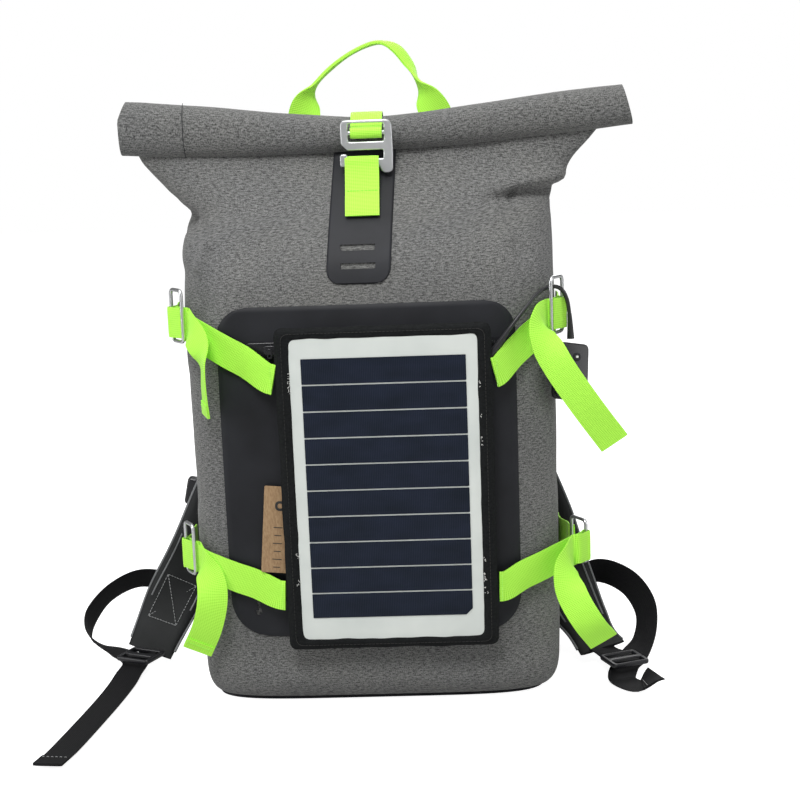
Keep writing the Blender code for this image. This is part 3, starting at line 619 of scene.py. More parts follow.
def fold_height(x, z):
    """How far the front stands out at (x, z) by its folds."""
    total = 0.0
    for (ax, az), (bx, bz), width, height in FOLDS:
        a, along = Vector((ax, az)), Vector((bx - ax, bz - az))
        t = (Vector((x, z)) - a).dot(along) / along.length_squared
        nearest = a + along * min(max(t, 0.0), 1.0)
        away = (Vector((x, z)) - nearest).length / width
        fade = 1.0 if 0 <= t <= 1 else math.exp(-((t if t < 0 else t - 1) * along.length / width) ** 2)
        total += height * math.exp(-away * away) * fade
    return total


def slack(x, y, z):
    """Gentle unevenness of unfilled fabric, larger towards the neck."""
    loose = 0.5 + max(0.0, (z - 340.0) / 90.0)
    wave = noise.noise(Vector((x * 0.012, y * 0.02, z * 0.014 + 3.0)))
    fine = noise.noise(Vector((x * 0.035 + 9.0, y * 0.04, z * 0.03)))
    return loose * (1.5 * wave + 0.5 * fine)


def front_surface(x, z, offset):
    """The y of the bag's front at (x, z), stood off by offset."""
    half, front, back, power = table_at(BODY_SECTIONS, z)
    reach = max(0.0, 1.0 - abs(x / half) ** power) ** (1.0 / power)
    return (front + back) / 2 - (back - front) / 2 * reach - offset


def calm(x, z):
    """From 0, under the flat welded film, to 1, where the fabric is free to move."""
    away = max(abs(x) - 118.0, z - 345.0, 70.0 - z, 0.0)
    beside_film = max(abs(x + 2.0) - 27.0, 0.0) if z > 350 else 20.0
    return min(1.0, away / 22.0) * min(1.0, beside_film / 14.0)


def bag_fabric():
    """One cloth from the base, round the body and up through the neck into the roll."""
    around, rows = 260, 170
    points, uvs = [], []
    for i in range(rows + 1):
        z = BODY_SECTIONS[0][0] + (BODY_SECTIONS[-1][0] - BODY_SECTIONS[0][0]) * i / rows
        half, front, back, power = table_at(BODY_SECTIONS, z)
        centre, depth = (front + back) / 2, (back - front) / 2
        sides = table_at(SIDE_CHANGES, z)
        run = 0.0
        for j in range(around + 1):
            angle = math.pi / 2 + 2 * math.pi * j / around
            c, s = math.cos(angle), math.sin(angle)
            change = sides[0] if c < 0 else sides[1]
            x = math.copysign(abs(c) ** (2 / power), c) * (half + change)
            y = centre + math.copysign(abs(s) ** (2 / power), s) * depth
            under_roll = table_at(ROLL_SECTIONS, x)
            lift = (under_roll[1] - under_roll[3] - 474.0) * max(0.0, (z - 446.0) / 40.0)
            out = Vector((c * 0.6, s, 0.0)).normalized()
            free = calm(x, z) if y < centre else 1.0
            ends = min(1.0, (z - 2.6) / 12.0) * min(1.0, max(0.0, (486.0 - z) / 14.0))
            rise = slack(x, y, z) * free * ends
            if y < centre:
                rise += fold_height(x, z) * ends
            at = Vector((x, y, z + lift)) + out * max(-9.0, min(rise, 7.0))
            run += (at - points[-1]).length if j else 0.0
            points.append(at)
            uvs.append((run * 0.001, z * 0.001))
    faces = grid_faces(rows + 1, around + 1)
    faces.append(tuple(range(around)))
    cloth = make("bag_cloth", points, faces, "fabric", None, ("bag_shell",), uvs, sharp=60)
    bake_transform(cloth)


def roll_spiral():
    """The collar's turns: one sheet wound flat, swept along the roll with its cut ends showing."""
    turns, per_turn = 2.55, 44
    count = int(turns * per_turn)
    spiral = []
    for k in range(count + 1):
        t = k / count
        spiral.append((math.radians(296) - 2 * math.pi * turns * (1 - t), 0.45 + 0.53 * t))
    stations = []
    steps = 110
    for i in range(steps + 1):
        x = -211.0 + 440.0 * i / steps
        stations.append((x, *table_at(ROLL_SECTIONS, x)))
    thick = 1.5
    points, uvs = [], []
    size = 2 * (count + 1)
    for x, cy, cz, half_depth, half_height in stations:
        run = 0.0
        sheet = []
        for angle, scale in spiral:
            power = 2.3
            c, s = math.cos(angle), math.sin(angle)
            y = cy + math.copysign(abs(c) ** (2 / power), c) * half_depth * scale
            z = cz + math.copysign(abs(s) ** (2 / power), s) * half_height * scale
            lump = noise.noise(Vector((x * 0.02, y * 0.03, z * 0.03 + 7.0))) * 0.9 * scale
            lean = (cz - z) * 0.26 * max(0.0, (x - 190.0) / 39.0)
            lean += max(0.0, z - cz - 6.0) * 0.4 * max(0.0, (-x - 180.0) / 31.0)
            sheet.append(Vector((x + lean, y + lump * c, z + lump * s)))
        inward = [Vector((0.0, cy, cz)) - Vector((0.0, p.y, p.z)) for p in sheet]
        under = [p + n.normalized() * thick for p, n in zip(sheet, inward)]
        for k, p in enumerate(sheet + under[::-1]):
            run = (k if k <= count else size - 1 - k) * 2.4
            points.append(p)
            uvs.append((x * 0.001, run * 0.001))
    faces = grid_faces(len(stations), size, closed=True)
    for start in (0, (len(stations) - 1) * size):
        faces += [(start + k, start + k + 1, start + size - 2 - k, start + size - 1 - k)
                  for k in range(count)]
    make("roll_cloth", points, faces, "fabric", "roll", ("roll_top",), uvs, sharp=50)
    lines = []
    for x in (-154.0,):
        ring = []
        cy, cz, half_depth, half_height = table_at(ROLL_SECTIONS, x)
        for k in range(41):
            angle = math.radians(112 + 146 * k / 40)
            c, s = math.cos(angle), math.sin(angle)
            ring.append(Vector((x, cy + math.copysign(abs(c) ** 0.87, c) * (half_depth - 0.1),
                                cz + math.copysign(abs(s) ** 0.87, s) * (half_height - 0.1))))
        lines.append(tube(ring, 0.3, 5))
    make("roll_seam", *joined(lines), "tpu", "roll")


def film(name, bottom, top, half, low_radius, high_radius, thick, centre, replaces, slots=()):
    """Welded film that follows the bag's front, thin at its rim, cut through at its slots."""
    rows, columns = 130 if top - bottom > 200 else 90, 90 if half > 60 else 50
    points, uvs = [], []
    for layer in (0.5, thick):
        for i in range(rows + 1):
            z = bottom + (top - bottom) * i / rows
            inset = 0.0
            for radius, depth in ((low_radius, z - bottom), (high_radius, top - z)):
                if depth < radius:
                    inset = radius - math.sqrt(max(0.0, radius**2 - (radius - depth) ** 2))
            left, right = centre(z) - half + inset, centre(z) + half - inset
            for j in range(columns + 1):
                x = left + (right - left) * j / columns
                rim = min(1.0, min(x - left, right - x, z - bottom, top - z) / 1.2 + 0.25)
                y = front_surface(x, z, 0.4 + layer * max(rim, 0.0))
                lift = fold_height(x, z) * 0.9 + slack(x, y, z) * calm(x, z)
                points.append(Vector((x, y - lift, z)))
                uvs.append((x * 0.001, z * 0.001))
    wide, size = columns + 1, (rows + 1) * (columns + 1)
    open_cells = set()
    for i in range(rows):
        for j in range(columns):
            corners = [points[size + i * wide + j], points[size + (i + 1) * wide + j + 1]]
            x, z = (corners[0].x + corners[1].x) / 2, (corners[0].z + corners[1].z) / 2
            if any(abs(x - sx) <= sw / 2 and abs(z - sz) <= sh / 2 for sx, sz, sw, sh in slots):
                open_cells.add((i, j))
    faces = []
    for i in range(rows):
        for j in range(columns):
            if (i, j) in open_cells:
                continue
            a = i * wide + j
            faces.append((a, a + 1, a + wide + 1, a + wide))
            faces.append((size + a, size + a + wide, size + a + wide + 1, size + a + 1))
            for step, edge in (((0, -1), (a, a + wide)), ((0, 1), (a + 1, a + wide + 1)),
                               ((-1, 0), (a, a + 1)), ((1, 0), (a + wide, a + wide + 1))):
                beside = (i + step[0], j + step[1])
                outside = not (0 <= beside[0] < rows and 0 <= beside[1] < columns)
                if outside or beside in open_cells:
                    faces.append((edge[0], edge[1], size + edge[1], size + edge[0]))
    return make(name, points, faces, "tpu", "bag", replaces, uvs, sharp=50)


def films():
    film("front_film", 64.0, 352.0, 125.5, 34.0, 26.0, 1.5, lambda z: 0.0, ("front_patch",),
         slots=((-101.5, 92.0, 3.4, 17.0),))
    film("closure_film", 368.5, 480.0, 27.0, 13.0, 1.0, 1.6,
         lambda z: -5.0 + (z - 361.0) * 0.06, ("closure_patch",),
         slots=((-4.0, 398.0, 29.0, 5.4), (-4.0, 383.0, 29.0, 5.4)))


# ---------------------------------------------------------------- straps, rings and hook

def zip_and_base():
    """Zip coil under its film, its garage and slider, and the moulded foot of the bag."""
    parts = []
    for i in range(96):
        x = -83.0 + i * 2.1
        y = front_surface(x, ZIP_HEIGHT, 3.4)
        parts.append(tube([Vector((x, y, ZIP_HEIGHT - 1.8)), Vector((x, y - 0.8, ZIP_HEIGHT)),
                           Vector((x, y, ZIP_HEIGHT + 1.8))], 0.5, 6))
    make("zip_coil", *joined(parts), "plastic", "bag", ("zipper_tape",))
    points = []
    for z in (ZIP_HEIGHT - 4.0, ZIP_HEIGHT - 2.2, ZIP_HEIGHT + 2.2, ZIP_HEIGHT + 4.0):
        for j in range(41):
            x = -84.0 + 203.0 * j / 40
            points.append(Vector((x, front_surface(x, z, 2.7 if abs(z - ZIP_HEIGHT) > 3 else 2.3), z)))
    make("zip_tape", points, grid_faces(4, 41), "tpu", "bag")
    centre = Matrix.Translation((-86.0, front_surface(-86.0, ZIP_HEIGHT, 2.6), ZIP_HEIGHT))
    facing = centre @ Matrix.Rotation(math.pi / 2, 4, "X")
    outline_plate("zip_garage", [round_rectangle(28.0, 12.0, 3.0)], 2.4, 0.9, facing, "plastic",
                  "bag", ("zipper_garage",))
    y = -93.65
    body = Matrix.Translation((-79.6, y, ZIP_HEIGHT)) @ Matrix.Rotation(math.pi / 2, 4, "X")
    outline_plate("zip_slider", [round_rectangle(10.0, 8.0, 2.5)], 2.6, 0.8, body, "plastic",
                  "slider", ("zipper_slider",))
    pull = Matrix.Translation((-79.6, -95.9, 314.3)) @ Matrix.Rotation(math.pi / 2, 4, "X")
    outline_plate("zip_pull", [round_rectangle(4.4, 8.6, 1.6), round_rectangle(1.8, 2.6, 0.6, 0, -1.8)],
                  1.1, 0.35, pull, "plastic", "puller", ("zipper_puller",))
    rings = []
    for grow, z in ((0.0, 0.0), (1.6, 0.6), (2.0, 1.8), (1.2, 3.4), (-0.4, 4.2)):
        half, front, back = BODY_SECTIONS[0][1:4]
        for k in range(120):
            c, s = math.cos(2 * math.pi * k / 120), math.sin(2 * math.pi * k / 120)
            x = math.copysign(abs(c) ** 0.4, c) * (half + grow)
            y = (front + back) / 2 + math.copysign(abs(s) ** 0.4, s) * ((back - front) / 2 + grow)
            rings.append(Vector((x, y, z)))
    faces = grid_faces(5, 120, closed=True) + [tuple(range(120)), tuple(range(480, 600))]
    make("base_plate", rings, faces, "tpu", "bag", ("base_panel",))


SIDE_STRAPS = {
    "upper_left": (-1, (-154.5, -73.0), (-166.0, -57.0), (-154.5, -73.0), 323, 367, 293.5),
    "upper_right": (1, (156.0, -75.0), (166.5, -59.0), (156.0, -75.0), 321, 368, 294.0),
    "lower_left": (-1, (-157.0, -70.0), (-166.5, -54.0), (-157.0, -70.0), 118, 162, 105.0),
    "lower_right": (1, (175.0, -71.0), (184.0, -55.0), (173.0, -36.0), 115, 153, 108.0),
}
TAILS = {
    "upper_left": (
        ((-145, -82, 331), (0.25, 0.1, 1)), ((-138, -92, 320), (0.6, -0.5, 0.7)),
        ((-136, -97, 306), (0.3, -1, 0.2)), ((-136, -98, 286), (0.3, -1, 0)),
        ((-135, -97, 264), (0.35, -1, 0)),
    ),
    "upper_right": (
        ((147, -86, 334), (-0.3, 0.1, 1)), ((148, -95, 321), (-0.9, 0, 0.75)),
        ((160, -103, 297), (-0.9, 0.1, -0.35)), ((181, -105, 265), (-0.85, 0.1, -0.5)),
        ((205, -101, 231), (-0.8, 0.1, -0.5)),
    ),
    "lower_left": (
        ((-148, -78, 128), (0.2, 0.1, 1)), ((-141, -87, 115), (0.9, 0.1, 0.6)),
        ((-141, -91, 97), (1, 0.1, 0.1)), ((-147, -90, 75), (1, 0.1, -0.25)),
        ((-157, -86, 54), (0.9, 0.1, -0.4)),
    ),
    "lower_right": (
        ((167, -82, 126), (-0.2, 0.1, 1)), ((164, -92, 115), (-0.9, -0.2, 0.6)),
        ((169, -102, 98), (-1, 0.1, -0.1)), ((181, -107, 77), (-0.95, 0.1, -0.35)),
        ((194, -99, 58), (-0.8, 0.1, -0.5)),
    ),
}


def clear_of_bag(point, offset):
    x, y, z = point
    if abs(x) > 160.0:
        return point
    nearest = min(front_surface(x, z + h, offset) for h in (-WEBBING / 2, 0.0, WEBBING / 2))
    return Vector((x, min(y, nearest), z))


def side_strap_stations(name):
    side, guard, bar, _, low, _, sewn_z = SIDE_STRAPS[name]
    level = low + 3.0 + WEBBING / 2
    panel_x = PANEL_CENTRE[0] + side * (PANEL_SIZE[0] / 2 + 2.6)
    panel_y = PANEL_CENTRE[1] - (sewn_z - PANEL_CENTRE[2]) * math.tan(PANEL_LEAN) - 2.0
    start = Vector((panel_x, panel_y, sewn_z))
    back = Vector((guard[0] + side * 2.5, guard[1] + 9.0, level))
    stations = [(start, (0, 0, 1)), (start.lerp(back, 0.1) + Vector((0, 0, -2)), (0, 0, 1))]
    stations += [(clear_of_bag(start.lerp(back, t), 6.2), (0, 0, 1)) for t in (0.3, 0.5, 0.68, 0.84)]
    stations += [
        (back, (0, 0, 1)), ((bar[0] - side * 1.5, bar[1] + 3.3, level), (0, 0, 1)),
        ((bar[0] + side * 2.4, bar[1] + 1.9, level), (0, 0, 1)),
        ((bar[0] + side * 2.9, bar[1] - 1.5, level), (0, 0, 1)),
        ((bar[0] + side * 0.2, bar[1] - 3.6, level), (0, 0, 1)),
        ((guard[0] + side * 2.6, guard[1] + 4.4, level), (0, 0, 1)),
        ((guard[0] - side * 3.6, guard[1] + 2.6, level), (0, 0, 1)),
    ]
    return stations + list(TAILS[name])


def hem(name, stations, width, paint, thread, body, depth=9.0, thickness=WEBBING_THICKNESS):
    """The turned-over end of a strap, with its row of stitches."""
    places = frames_along(stations, 10)
    run, first = 0.0, len(places) - 1
    while run < depth:
        run += (places[first][0] - places[first - 1][0]).length
        first -= 1
    turned = [(c + up * (thickness * 0.85), side) for c, side, up, _ in places[first:]]
    points, faces, uvs = strip(turned, width * 0.995, thickness * 0.8, 2)
    make(name + "_hem", points, faces, paint, body, uvs=uvs)
    c, side, up, ahead = places[first + 1]
    row = [c + side * width * t + up * thickness * 1.35 + ahead * 1.2 for t in (-0.46, -0.15, 0.15, 0.46)]
    make(name + "_hem_stitches", *seam(row, [up] * 4, 2.6, 1.9, 0.22), thread, body)


def rectangular_ring(name, near_bar, far_bar, low, high):
    """A ring on edge between two upright bars, its flat wire drawn as a round wire."""
    centre = Vector(((near_bar[0] + far_bar[0]) / 2, (near_bar[1] + far_bar[1]) / 2, (low + high) / 2))
    across = Vector((far_bar[0] - near_bar[0], far_bar[1] - near_bar[1], 0.0))
    width = across.length
    across.normalize()
    corners = [(u * width / 2, v * (high - low) / 2, 5.0) for u, v in ((1, 1), (-1, 1), (-1, -1), (1, -1))]
    path = [centre + across * u + Vector((0, 0, v)) for u, v in filleted(corners, 8)]
    make(name + "_wire", *tube(path, 1.6, 12, closed=True), "steel", "bag", (name,))


def side_straps():
    for name, (side, _, bar, other, low, high, _) in SIDE_STRAPS.items():
        rectangular_ring(f"ring_{name}", other, bar, low, high)
        level = low + 3.0 + WEBBING / 2
        x, y = other if name == "lower_right" else bar
        held = (
            ((x + side * 2.2, y - 1.0, level), (0, 0, 1)), ((x + side * 2.0, y + 2.0, level), (0, 0, 1)),
            ((x - side * 1.5, y + 6.4, level), (0, 0, 1)), ((x - side * 3.0, y + 14, level), (0, 0, 1)),
            ((side * 164.8, y + 28, level), (0, 0, 1)), ((side * 164.4, y + 46, level), (0, 0, 1)),
        )
        points, faces, uvs = strip(held, WEBBING, WEBBING_THICKNESS)
        make(f"anchor_{name}", points, faces, "green", "bag", (f"ring_anchor_{name}",), uvs)
        place = [Vector((side * 165.8, y + 30, level + v)) for v in (-11, 0, 11)]
        rows = [seam([p + Vector((0, dy, 0)) for p in place], [Vector((side, 0, 0))] * 3, 2.8, 2.0, 0.25)
                for dy in (0, 12)]
        make(f"anchor_{name}_stitches", *joined(rows), "thread_green", "bag")
        stations = side_strap_stations(name)
        points, faces, uvs = strip(stations, WEBBING, WEBBING_THICKNESS)
        make(f"webbing_{name}", points, faces, "green", "bag", (f"strap_{name}",), uvs)
        hem(f"webbing_{name}", stations, WEBBING, "green", "thread_green", "bag")
        start = stations[0][0]
        face = Vector((start.x - side * 0.4, start.y - 2.9, start.z))
        ends = [face + Vector((side * 2.6, 0, v)) for v in (-11.5, 0, 11.5)]
        make(f"webbing_{name}_stitches", *seam(ends, [Vector((0, -1, 0))] * 3, 2.8, 2.0, 0.25),
             "thread_green", "bag")


def closure_and_hook():
    """Closure strap over the roll, the flat G-shaped hook, and the loop that it catches."""
    route = ((21.0, 484.0), (20.5, 496.0), (14.0, 505.5), (3.0, 509.0), (-9.0, 507.6), (-17.0, 503.6),
             (-20.6, 499.6), (-23.6, 496.6), (-28.0, 496.3), (-31.8, 494.8), (-32.6, 492.0),
             (-31.6, 489.2), (-28.4, 487.8))
    stations = [((4.5, y, z), (1, 0, 0)) for y, z in route]
    points, faces, uvs = strip(stations, 27.0, 1.3)
    make("closure_webbing", points, faces, "green", "closure", ("closure_strap",), uvs)
    rim = filleted([(-17.5, 503.0, 5.0), (26.5, 503.0, 7.0), (27.0, 476.0, 4.0), (26.5, 458.0, 8.0),
                    (17.5, 457.5, 5.0), (15.0, 463.5, 2.0), (-14.0, 463.5, 3.0), (-18.6, 463.5, 3.0),
                    (-18.6, 474.5, 2.8), (-12.4, 474.5, 2.8), (-12.0, 470.3, 1.0), (18.6, 470.3, 1.0),
                    (18.8, 477.4, 1.5), (-12.0, 477.4, 3.0), (-17.5, 483.0, 4.0)])
    upper = filleted([(-11.0, 500.0, 2.0), (19.5, 500.0, 2.0), (19.5, 493.8, 1.0), (-11.0, 493.8, 1.0)])
    lower = filleted([(-11.0, 490.2, 1.0), (19.5, 490.2, 1.0), (19.5, 484.8, 2.0), (-11.0, 484.8, 2.0)])
    facing = Matrix.Translation((0.0, -28.25, 0.0)) @ Matrix.Rotation(math.pi / 2, 4, "X")
    outline_plate("hook_plate", [rim, upper, lower], 3.6, 1.4, facing, "aluminium", "hook", ("g_hook",), 4)
    loop = [(-55.3, 423.5), (-51.6, 430.0), (-45.6, 438.0), (-41.2, 444.0), (-38.0, 450.0), (-34.6, 457.0),
            (-32.0, 464.0), (-31.0, 469.0), (-28.6, 472.0), (-26.0, 470.0), (-25.0, 464.5), (-28.4, 458.5),
            (-32.8, 452.0), (-37.5, 445.0)]
    stations = [((0.0, y, z), (1, 0, 0)) for y, z in loop]
    points, faces, uvs = strip(stations, 29.0, 1.3)
    make("catch_loop", points, faces, "green", "bag", ("hook_loop",), uvs)
    row = [Vector((x, -42.4, 444.0)) for x in (-13.5, -5, 5, 13.5)]
    stitches = seam(row, [Vector((0, -0.8, 0.5))] * 4, 2.6, 1.9, 0.22)
    make("catch_loop_stitches", *stitches, "thread_green", "bag")


def haul_handle():
    stations = (
        ((-53, 24, 482), (1, 0, 0)), ((-53, 24, 500), (1, 0, 0)), ((-50, 26, 517), (0.92, 0.4, 0.3)),
        ((-42, 31, 534), (0.25, 1, 0.2)), ((-27, 36, 549), (0.1, 1, 0)), ((-7, 37, 562), (0, 1, 0)),
        ((14, 37, 569), (0.15, 1, 0)), ((30, 37, 564), (0.4, 0.87, 0.3)), ((42, 36, 549), (0.35, 0.9, 0.3)),
        ((48.5, 31, 535), (-0.1, 1, 0)), ((57.5, 26, 519), (-0.92, 0.4, 0.25)), ((65, 24, 502), (-1, 0, 0)),
        ((65, 24, 482), (-1, 0, 0)),
    )
    widths = [29, 29, 26, 15, 14, 14, 14, 15, 15, 14, 25, 29, 29]
    points, faces, uvs = strip(stations, widths, 2.6, crown=0.9)
    make("handle_webbing", points, faces, "green", "handle", ("haul_handle",), uvs)


# ---------------------------------------------------------------- solar panel and its lead

def solar_panel():
    """Padded cloth frame round the laminate, and its stitching; the loose threads and the cells are drawn
    after it.
    """
    placed = Matrix.Translation(PANEL_CENTRE) @ Matrix.Rotation(math.pi / 2 + PANEL_LEAN, 4, "X")
    section = ((0.0, 0.2), (-0.1, 2.2), (0.1, 3.9), (0.2, 4.9), (0.42, 5.6), (0.7, 5.7), (0.92, 5.2),
               (1.0, 4.75), (1.0, 3.4))
    points = []
    for depth_in, height in section:
        outer = round_rectangle(178.0, 279.0, 8.0)
        inner = round_rectangle(157.0 - 1.0, 263.0 - 1.0, 6.0)
        for (ox, oy), (ix, iy) in zip(outer, inner):
            points.append((ox + (ix - ox) * depth_in, oy + (iy - oy) * depth_in, height))
    count = len(outer)
    dense = []
    for r in range(len(section)):
        ring = [Vector(p) for p in points[r * count:(r + 1) * count]]
        row = []
        for a, b in zip(ring, ring[1:] + ring[:1]):
            pieces = max(1, int((b - a).length / 4.0))
            row += [a.lerp(b, i / pieces) for i in range(pieces)]
        dense.append(row)
    size = min(len(row) for row in dense)
    dense = [[row[int(i * len(row) / size)] for i in range(size)] for row in dense]
    points = []
    for r, row in enumerate(dense):
        for p in row:
            wobble = noise.noise(Vector((p.x * 0.06, p.y * 0.06, 1.0)))
            lump = noise.noise(Vector((p.x * 0.11, p.y * 0.11, 4.0)))
            inward = -Vector((p.x / 89.0, p.y / 139.5, 0.0))
            sway = inward * (wobble * (0.8 if r < 6 else 1.1))
            q = p + sway + Vector((0, 0, lump * 0.5 if 1 < r < 7 else 0.0))
            points.append(placed @ q)
    faces = grid_faces(len(section), size, closed=True)
    faces.append(tuple(range(size)))
    make("panel_frame", points, faces, "border", "bag", ("panel_cover",), sharp=60)
    rows = []
    for w, h, r, lift in ((168.0, 271.5, 7.0, 5.95),):
        outline = [placed @ Vector((x, y, lift)) for x, y in round_rectangle(w, h, r)]
        outline.append(outline[0])
        normal = (placed.to_3x3() @ Vector((0, 0, 1))).normalized()
        rows.append(seam(outline, [normal] * len(outline), 3.2, 2.2, 0.2))
    make("panel_stitches", *joined(rows), "ink", "bag")
    return placed


def loose_threads(placed):
    """Short frayed ends of white thread along the frame's inner edges."""
    parts = []
    spots = ((-78.5, 92.0, 12), (-78.5, 100.0, 8), (-79.0, -55.0, 5), (-79.5, -80.0, 4), (79.5, 40.0, 6),
             (79.5, 88.0, 5), (80.0, 62.0, 4), (79.5, -62.0, 6), (79.0, -77.0, 12), (80.0, -90.0, 5))
    for s, (x, y, count) in enumerate(spots):
        for k in range(count):
            seed = Vector((s * 3.1 + k * 0.7, k * 1.9, s * 0.37))
            jitter = Vector((noise.noise(seed), noise.noise(seed + Vector((5, 0, 0))),
                             noise.noise(seed + Vector((0, 9, 0)))))
            turn = Vector((noise.noise(seed * 1.7), noise.noise(seed * 2.3 + Vector((1, 1, 1))), 0.25))
            middle = Vector((x + jitter.x * 2.6, y + jitter.y * 9.0, 5.9))
            ends = [placed @ (middle + away) for away in (turn * -1.2, Vector((0, 0, 0.4)), turn * 1.2)]
            parts.append(tube(ends, 0.22, 5))
    make("loose_threads", *joined(parts), "thread_white", "bag")


def laminate_and_cells(placed):
    rim = round_rectangle(*LAMINATE_SIZE, 7.0)
    outline_plate("laminate_sheet", [rim], 1.2, 0.3, placed @ Matrix.Translation((0, 0, 4.1)),
                  "laminate", "bag", ("panel_laminate",))
    w, h = CELL_SIZE[0] / 2, CELL_SIZE[1] / 2
    lowest = -CELL_PITCH * 4.5 + 1.5
    for i in range(10):
        at = placed @ Matrix.Translation((0.0, lowest + CELL_PITCH * i, 5.05))
        cut = 5.5 if i == 0 else 0.6
        rim = filleted([(w, h, 0.5), (-w, h, 0.5), (-w, -h, 0.5), (w - cut, -h, 0.5), (w, -h + cut, 0.5)], 2)
        outline_plate(f"cell_{i + 1:02d}", [rim], 0.4, 0.1, at, "cell", "bag",
                      (f"solar_cell_{i + 1:02d}",), 1)


CORD_ROUTE = (
    (104.2, -99.0, 308.5), (112.0, -99.0, 319.0), (122.0, -97.0, 332.0), (133.0, -91.0, 344.5),
    (142.0, -82.0, 353.5), (150.0, -73.0, 358.5), (158.5, -68.0, 360.0), (165.5, -66.0, 357.0),
    (170.0, -64.5, 348.5), (172.0, -63.5, 336.0), (172.6, -63.0, 324.0), (172.8, -63.0, 314.5),
)


def solar_lead():
    """The lead from the panel through the upper right ring to the hanging output box."""
    turned = Matrix.Translation((171.5, -67.0, 287.0)) @ Matrix.Rotation(math.radians(26.0), 4, "Z")
    turned = turned @ Matrix.Rotation(math.radians(-14.0), 4, "X")
    turned = turned @ Matrix.Rotation(math.radians(11.0), 4, "Y")
    facing = turned @ Matrix.Rotation(math.pi / 2, 4, "X")
    port = round_rectangle(14.0, 6.0, 1.0)
    for name, depth, node in (("box_front", 2.9, "regulator_front_shell"),
                              ("box_back", -2.9, "regulator_back_shell")):
        outline_plate(name, [round_rectangle(30.0, 48.0, 5.5)], 5.4, 1.6,
                                    facing @ Matrix.Translation((0, 0, depth)), "plastic", "bag", (node,))
    outline_plate("box_button", [round_rectangle(7.0, 7.0, 3.4, 3.0, 12.0)], 1.0, 0.3,
                                facing @ Matrix.Translation((0, 0, 5.7)), "tpu", "bag")
    outline_plate("box_lamp", [round_rectangle(2.2, 2.2, 1.0, 3.0, 12.0)], 0.8, 0.2,
                                facing @ Matrix.Translation((0, 0, 6.4)), "thread_white", "bag")
    mouth = facing @ Matrix.Translation((0.0, -23.6, 0.0)) @ Matrix.Rotation(math.pi / 2, 4, "X")
    outline_plate("box_socket", [port, round_rectangle(12.4, 4.4, 0.6)], 1.6, 0.3, mouth,
                                "steel", "bag", ("usb_socket",))
    tongue = facing @ Matrix.Translation((0.0, -21.0, -0.6)) @ Matrix.Rotation(math.pi / 2, 4, "X")
    outline_plate("box_tongue", [round_rectangle(10.5, 1.6, 0.3)], 4.0, 0.2, tongue,
                                "thread_white", "bag")
    path = smooth_path(CORD_ROUTE, 3)
    curve = bpy.data.curves.new("solar_lead", "CURVE")
    curve.dimensions = "3D"
    curve.bevel_depth = CORD_DIAMETER / 2000
    curve.bevel_resolution = 5
    curve.use_fill_caps = True
    spline = curve.splines.new("POLY")
    spline.points.add(len(path) - 1)
    for point, place in zip(spline.points, path):
        point.co = (*(place * 0.001), 1.0)
    curve.materials.append(PAINTS["cord"])
    lead = bpy.data.objects.new("solar_lead", curve)
    bpy.context.scene.collection.objects.link(lead)
    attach(lead, "bag")
    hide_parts("solar_cable")
    relief = [Vector(p) for p in path[-7:]]
    make("box_relief", *tube(relief, [1.9 + 0.22 * i for i in range(7)], 12), "cord", "bag")
    start = [Vector(p) for p in path[:6]]
    taper = [3.2 - 0.22 * i for i in range(6)]
    relief_at_panel = make("panel_relief", *tube(start, taper, 12), "cord", "bag")
    gland = Matrix.Translation((96.0, -99.0, 308.5)) @ Matrix.Rotation(math.pi / 2, 4, "X")
    outline_plate("lead_gland", [round_rectangle(11.0, 9.0, 2.0)], 4.0, 0.9, gland, "plastic", "bag",
                  ("cable_gland",))


# ---------------------------------------------------------------- carrying straps and back

PAD_LEFT = (
    ((-44, 96, 392), (1, 0, 0)), ((-47, 105, 350), (1, 0, 0.05)), ((-66, 112, 295), (1, 0, 0.25)),
    ((-97, 115, 245), (0.9, 0.1, 0.45)), ((-131, 108, 195), (0.85, 0.3, 0.5)),
    ((-159, 93, 149), (0.85, 0.35, 0.45)), ((-180, 79, 104), (0.85, 0.35, 0.35)),
    ((-204, 62, 54), (0.86, 0.3, 0.36)), ((-224, 33, 12), (0.86, 0.2, 0.3)),
)
PAD_RIGHT = (
    ((44, 96, 392), (1, 0, 0)), ((47, 105, 350), (1, 0, -0.05)), ((66, 112, 295), (1, 0, -0.25)),
    ((98, 117, 240), (0.9, -0.1, -0.45)), ((132, 118, 180), (0.85, -0.3, -0.5)),
    ((158, 108, 118), (0.85, -0.4, -0.45)), ((174, 84, 64), (0.85, -0.45, -0.35)),
    ((188, 46, 30), (0.8, -0.5, -0.35)), ((203, 6, 14), (0.85, -0.5, -0.15)),
)
PAD_WIDTHS = {
    "left": (58, 60, 60, 58, 54, 47, 46, 50, 44),
    "right": (58, 60, 60, 58, 55, 52, 50, 48, 44),
}
ADJUSTER_LEFT = (
    ((-154, 82, 18), (0, 0, -1)), ((-178, 100, 36), (0, -0.1, -1)), ((-212, 118, 52), (-0.1, 0.3, -0.9)),
    ((-245, 116, 60), (-0.1, 0.5, -0.85)), ((-272, 98, 52), (-0.1, 0.5, -0.85)),
    ((-287, 74, 36), (0.1, 0.5, -0.85)), ((-286, 54, 24), (0.1, 0.6, -0.75)),
    ((-272, 44, 16), (0.2, 0.85, -0.4)), ((-253, 38, 10), (0.5, 0.8, -0.1)),
    ((-235, 20, 8), (0.92, -0.35, 0)), ((-237, -6, 4.5), (0.96, -0.25, 0)),
    ((-239, -30, 2.4), (1, 0.1, 0)), ((-243, -70, 2), (1, 0.1, 0)),
    ((-250, -125, 2), (1, 0.15, 0)), ((-257, -175, 2.2), (1, 0.15, 0)),
    ((-262, -208, 4), (1, 0.15, 0)),
)
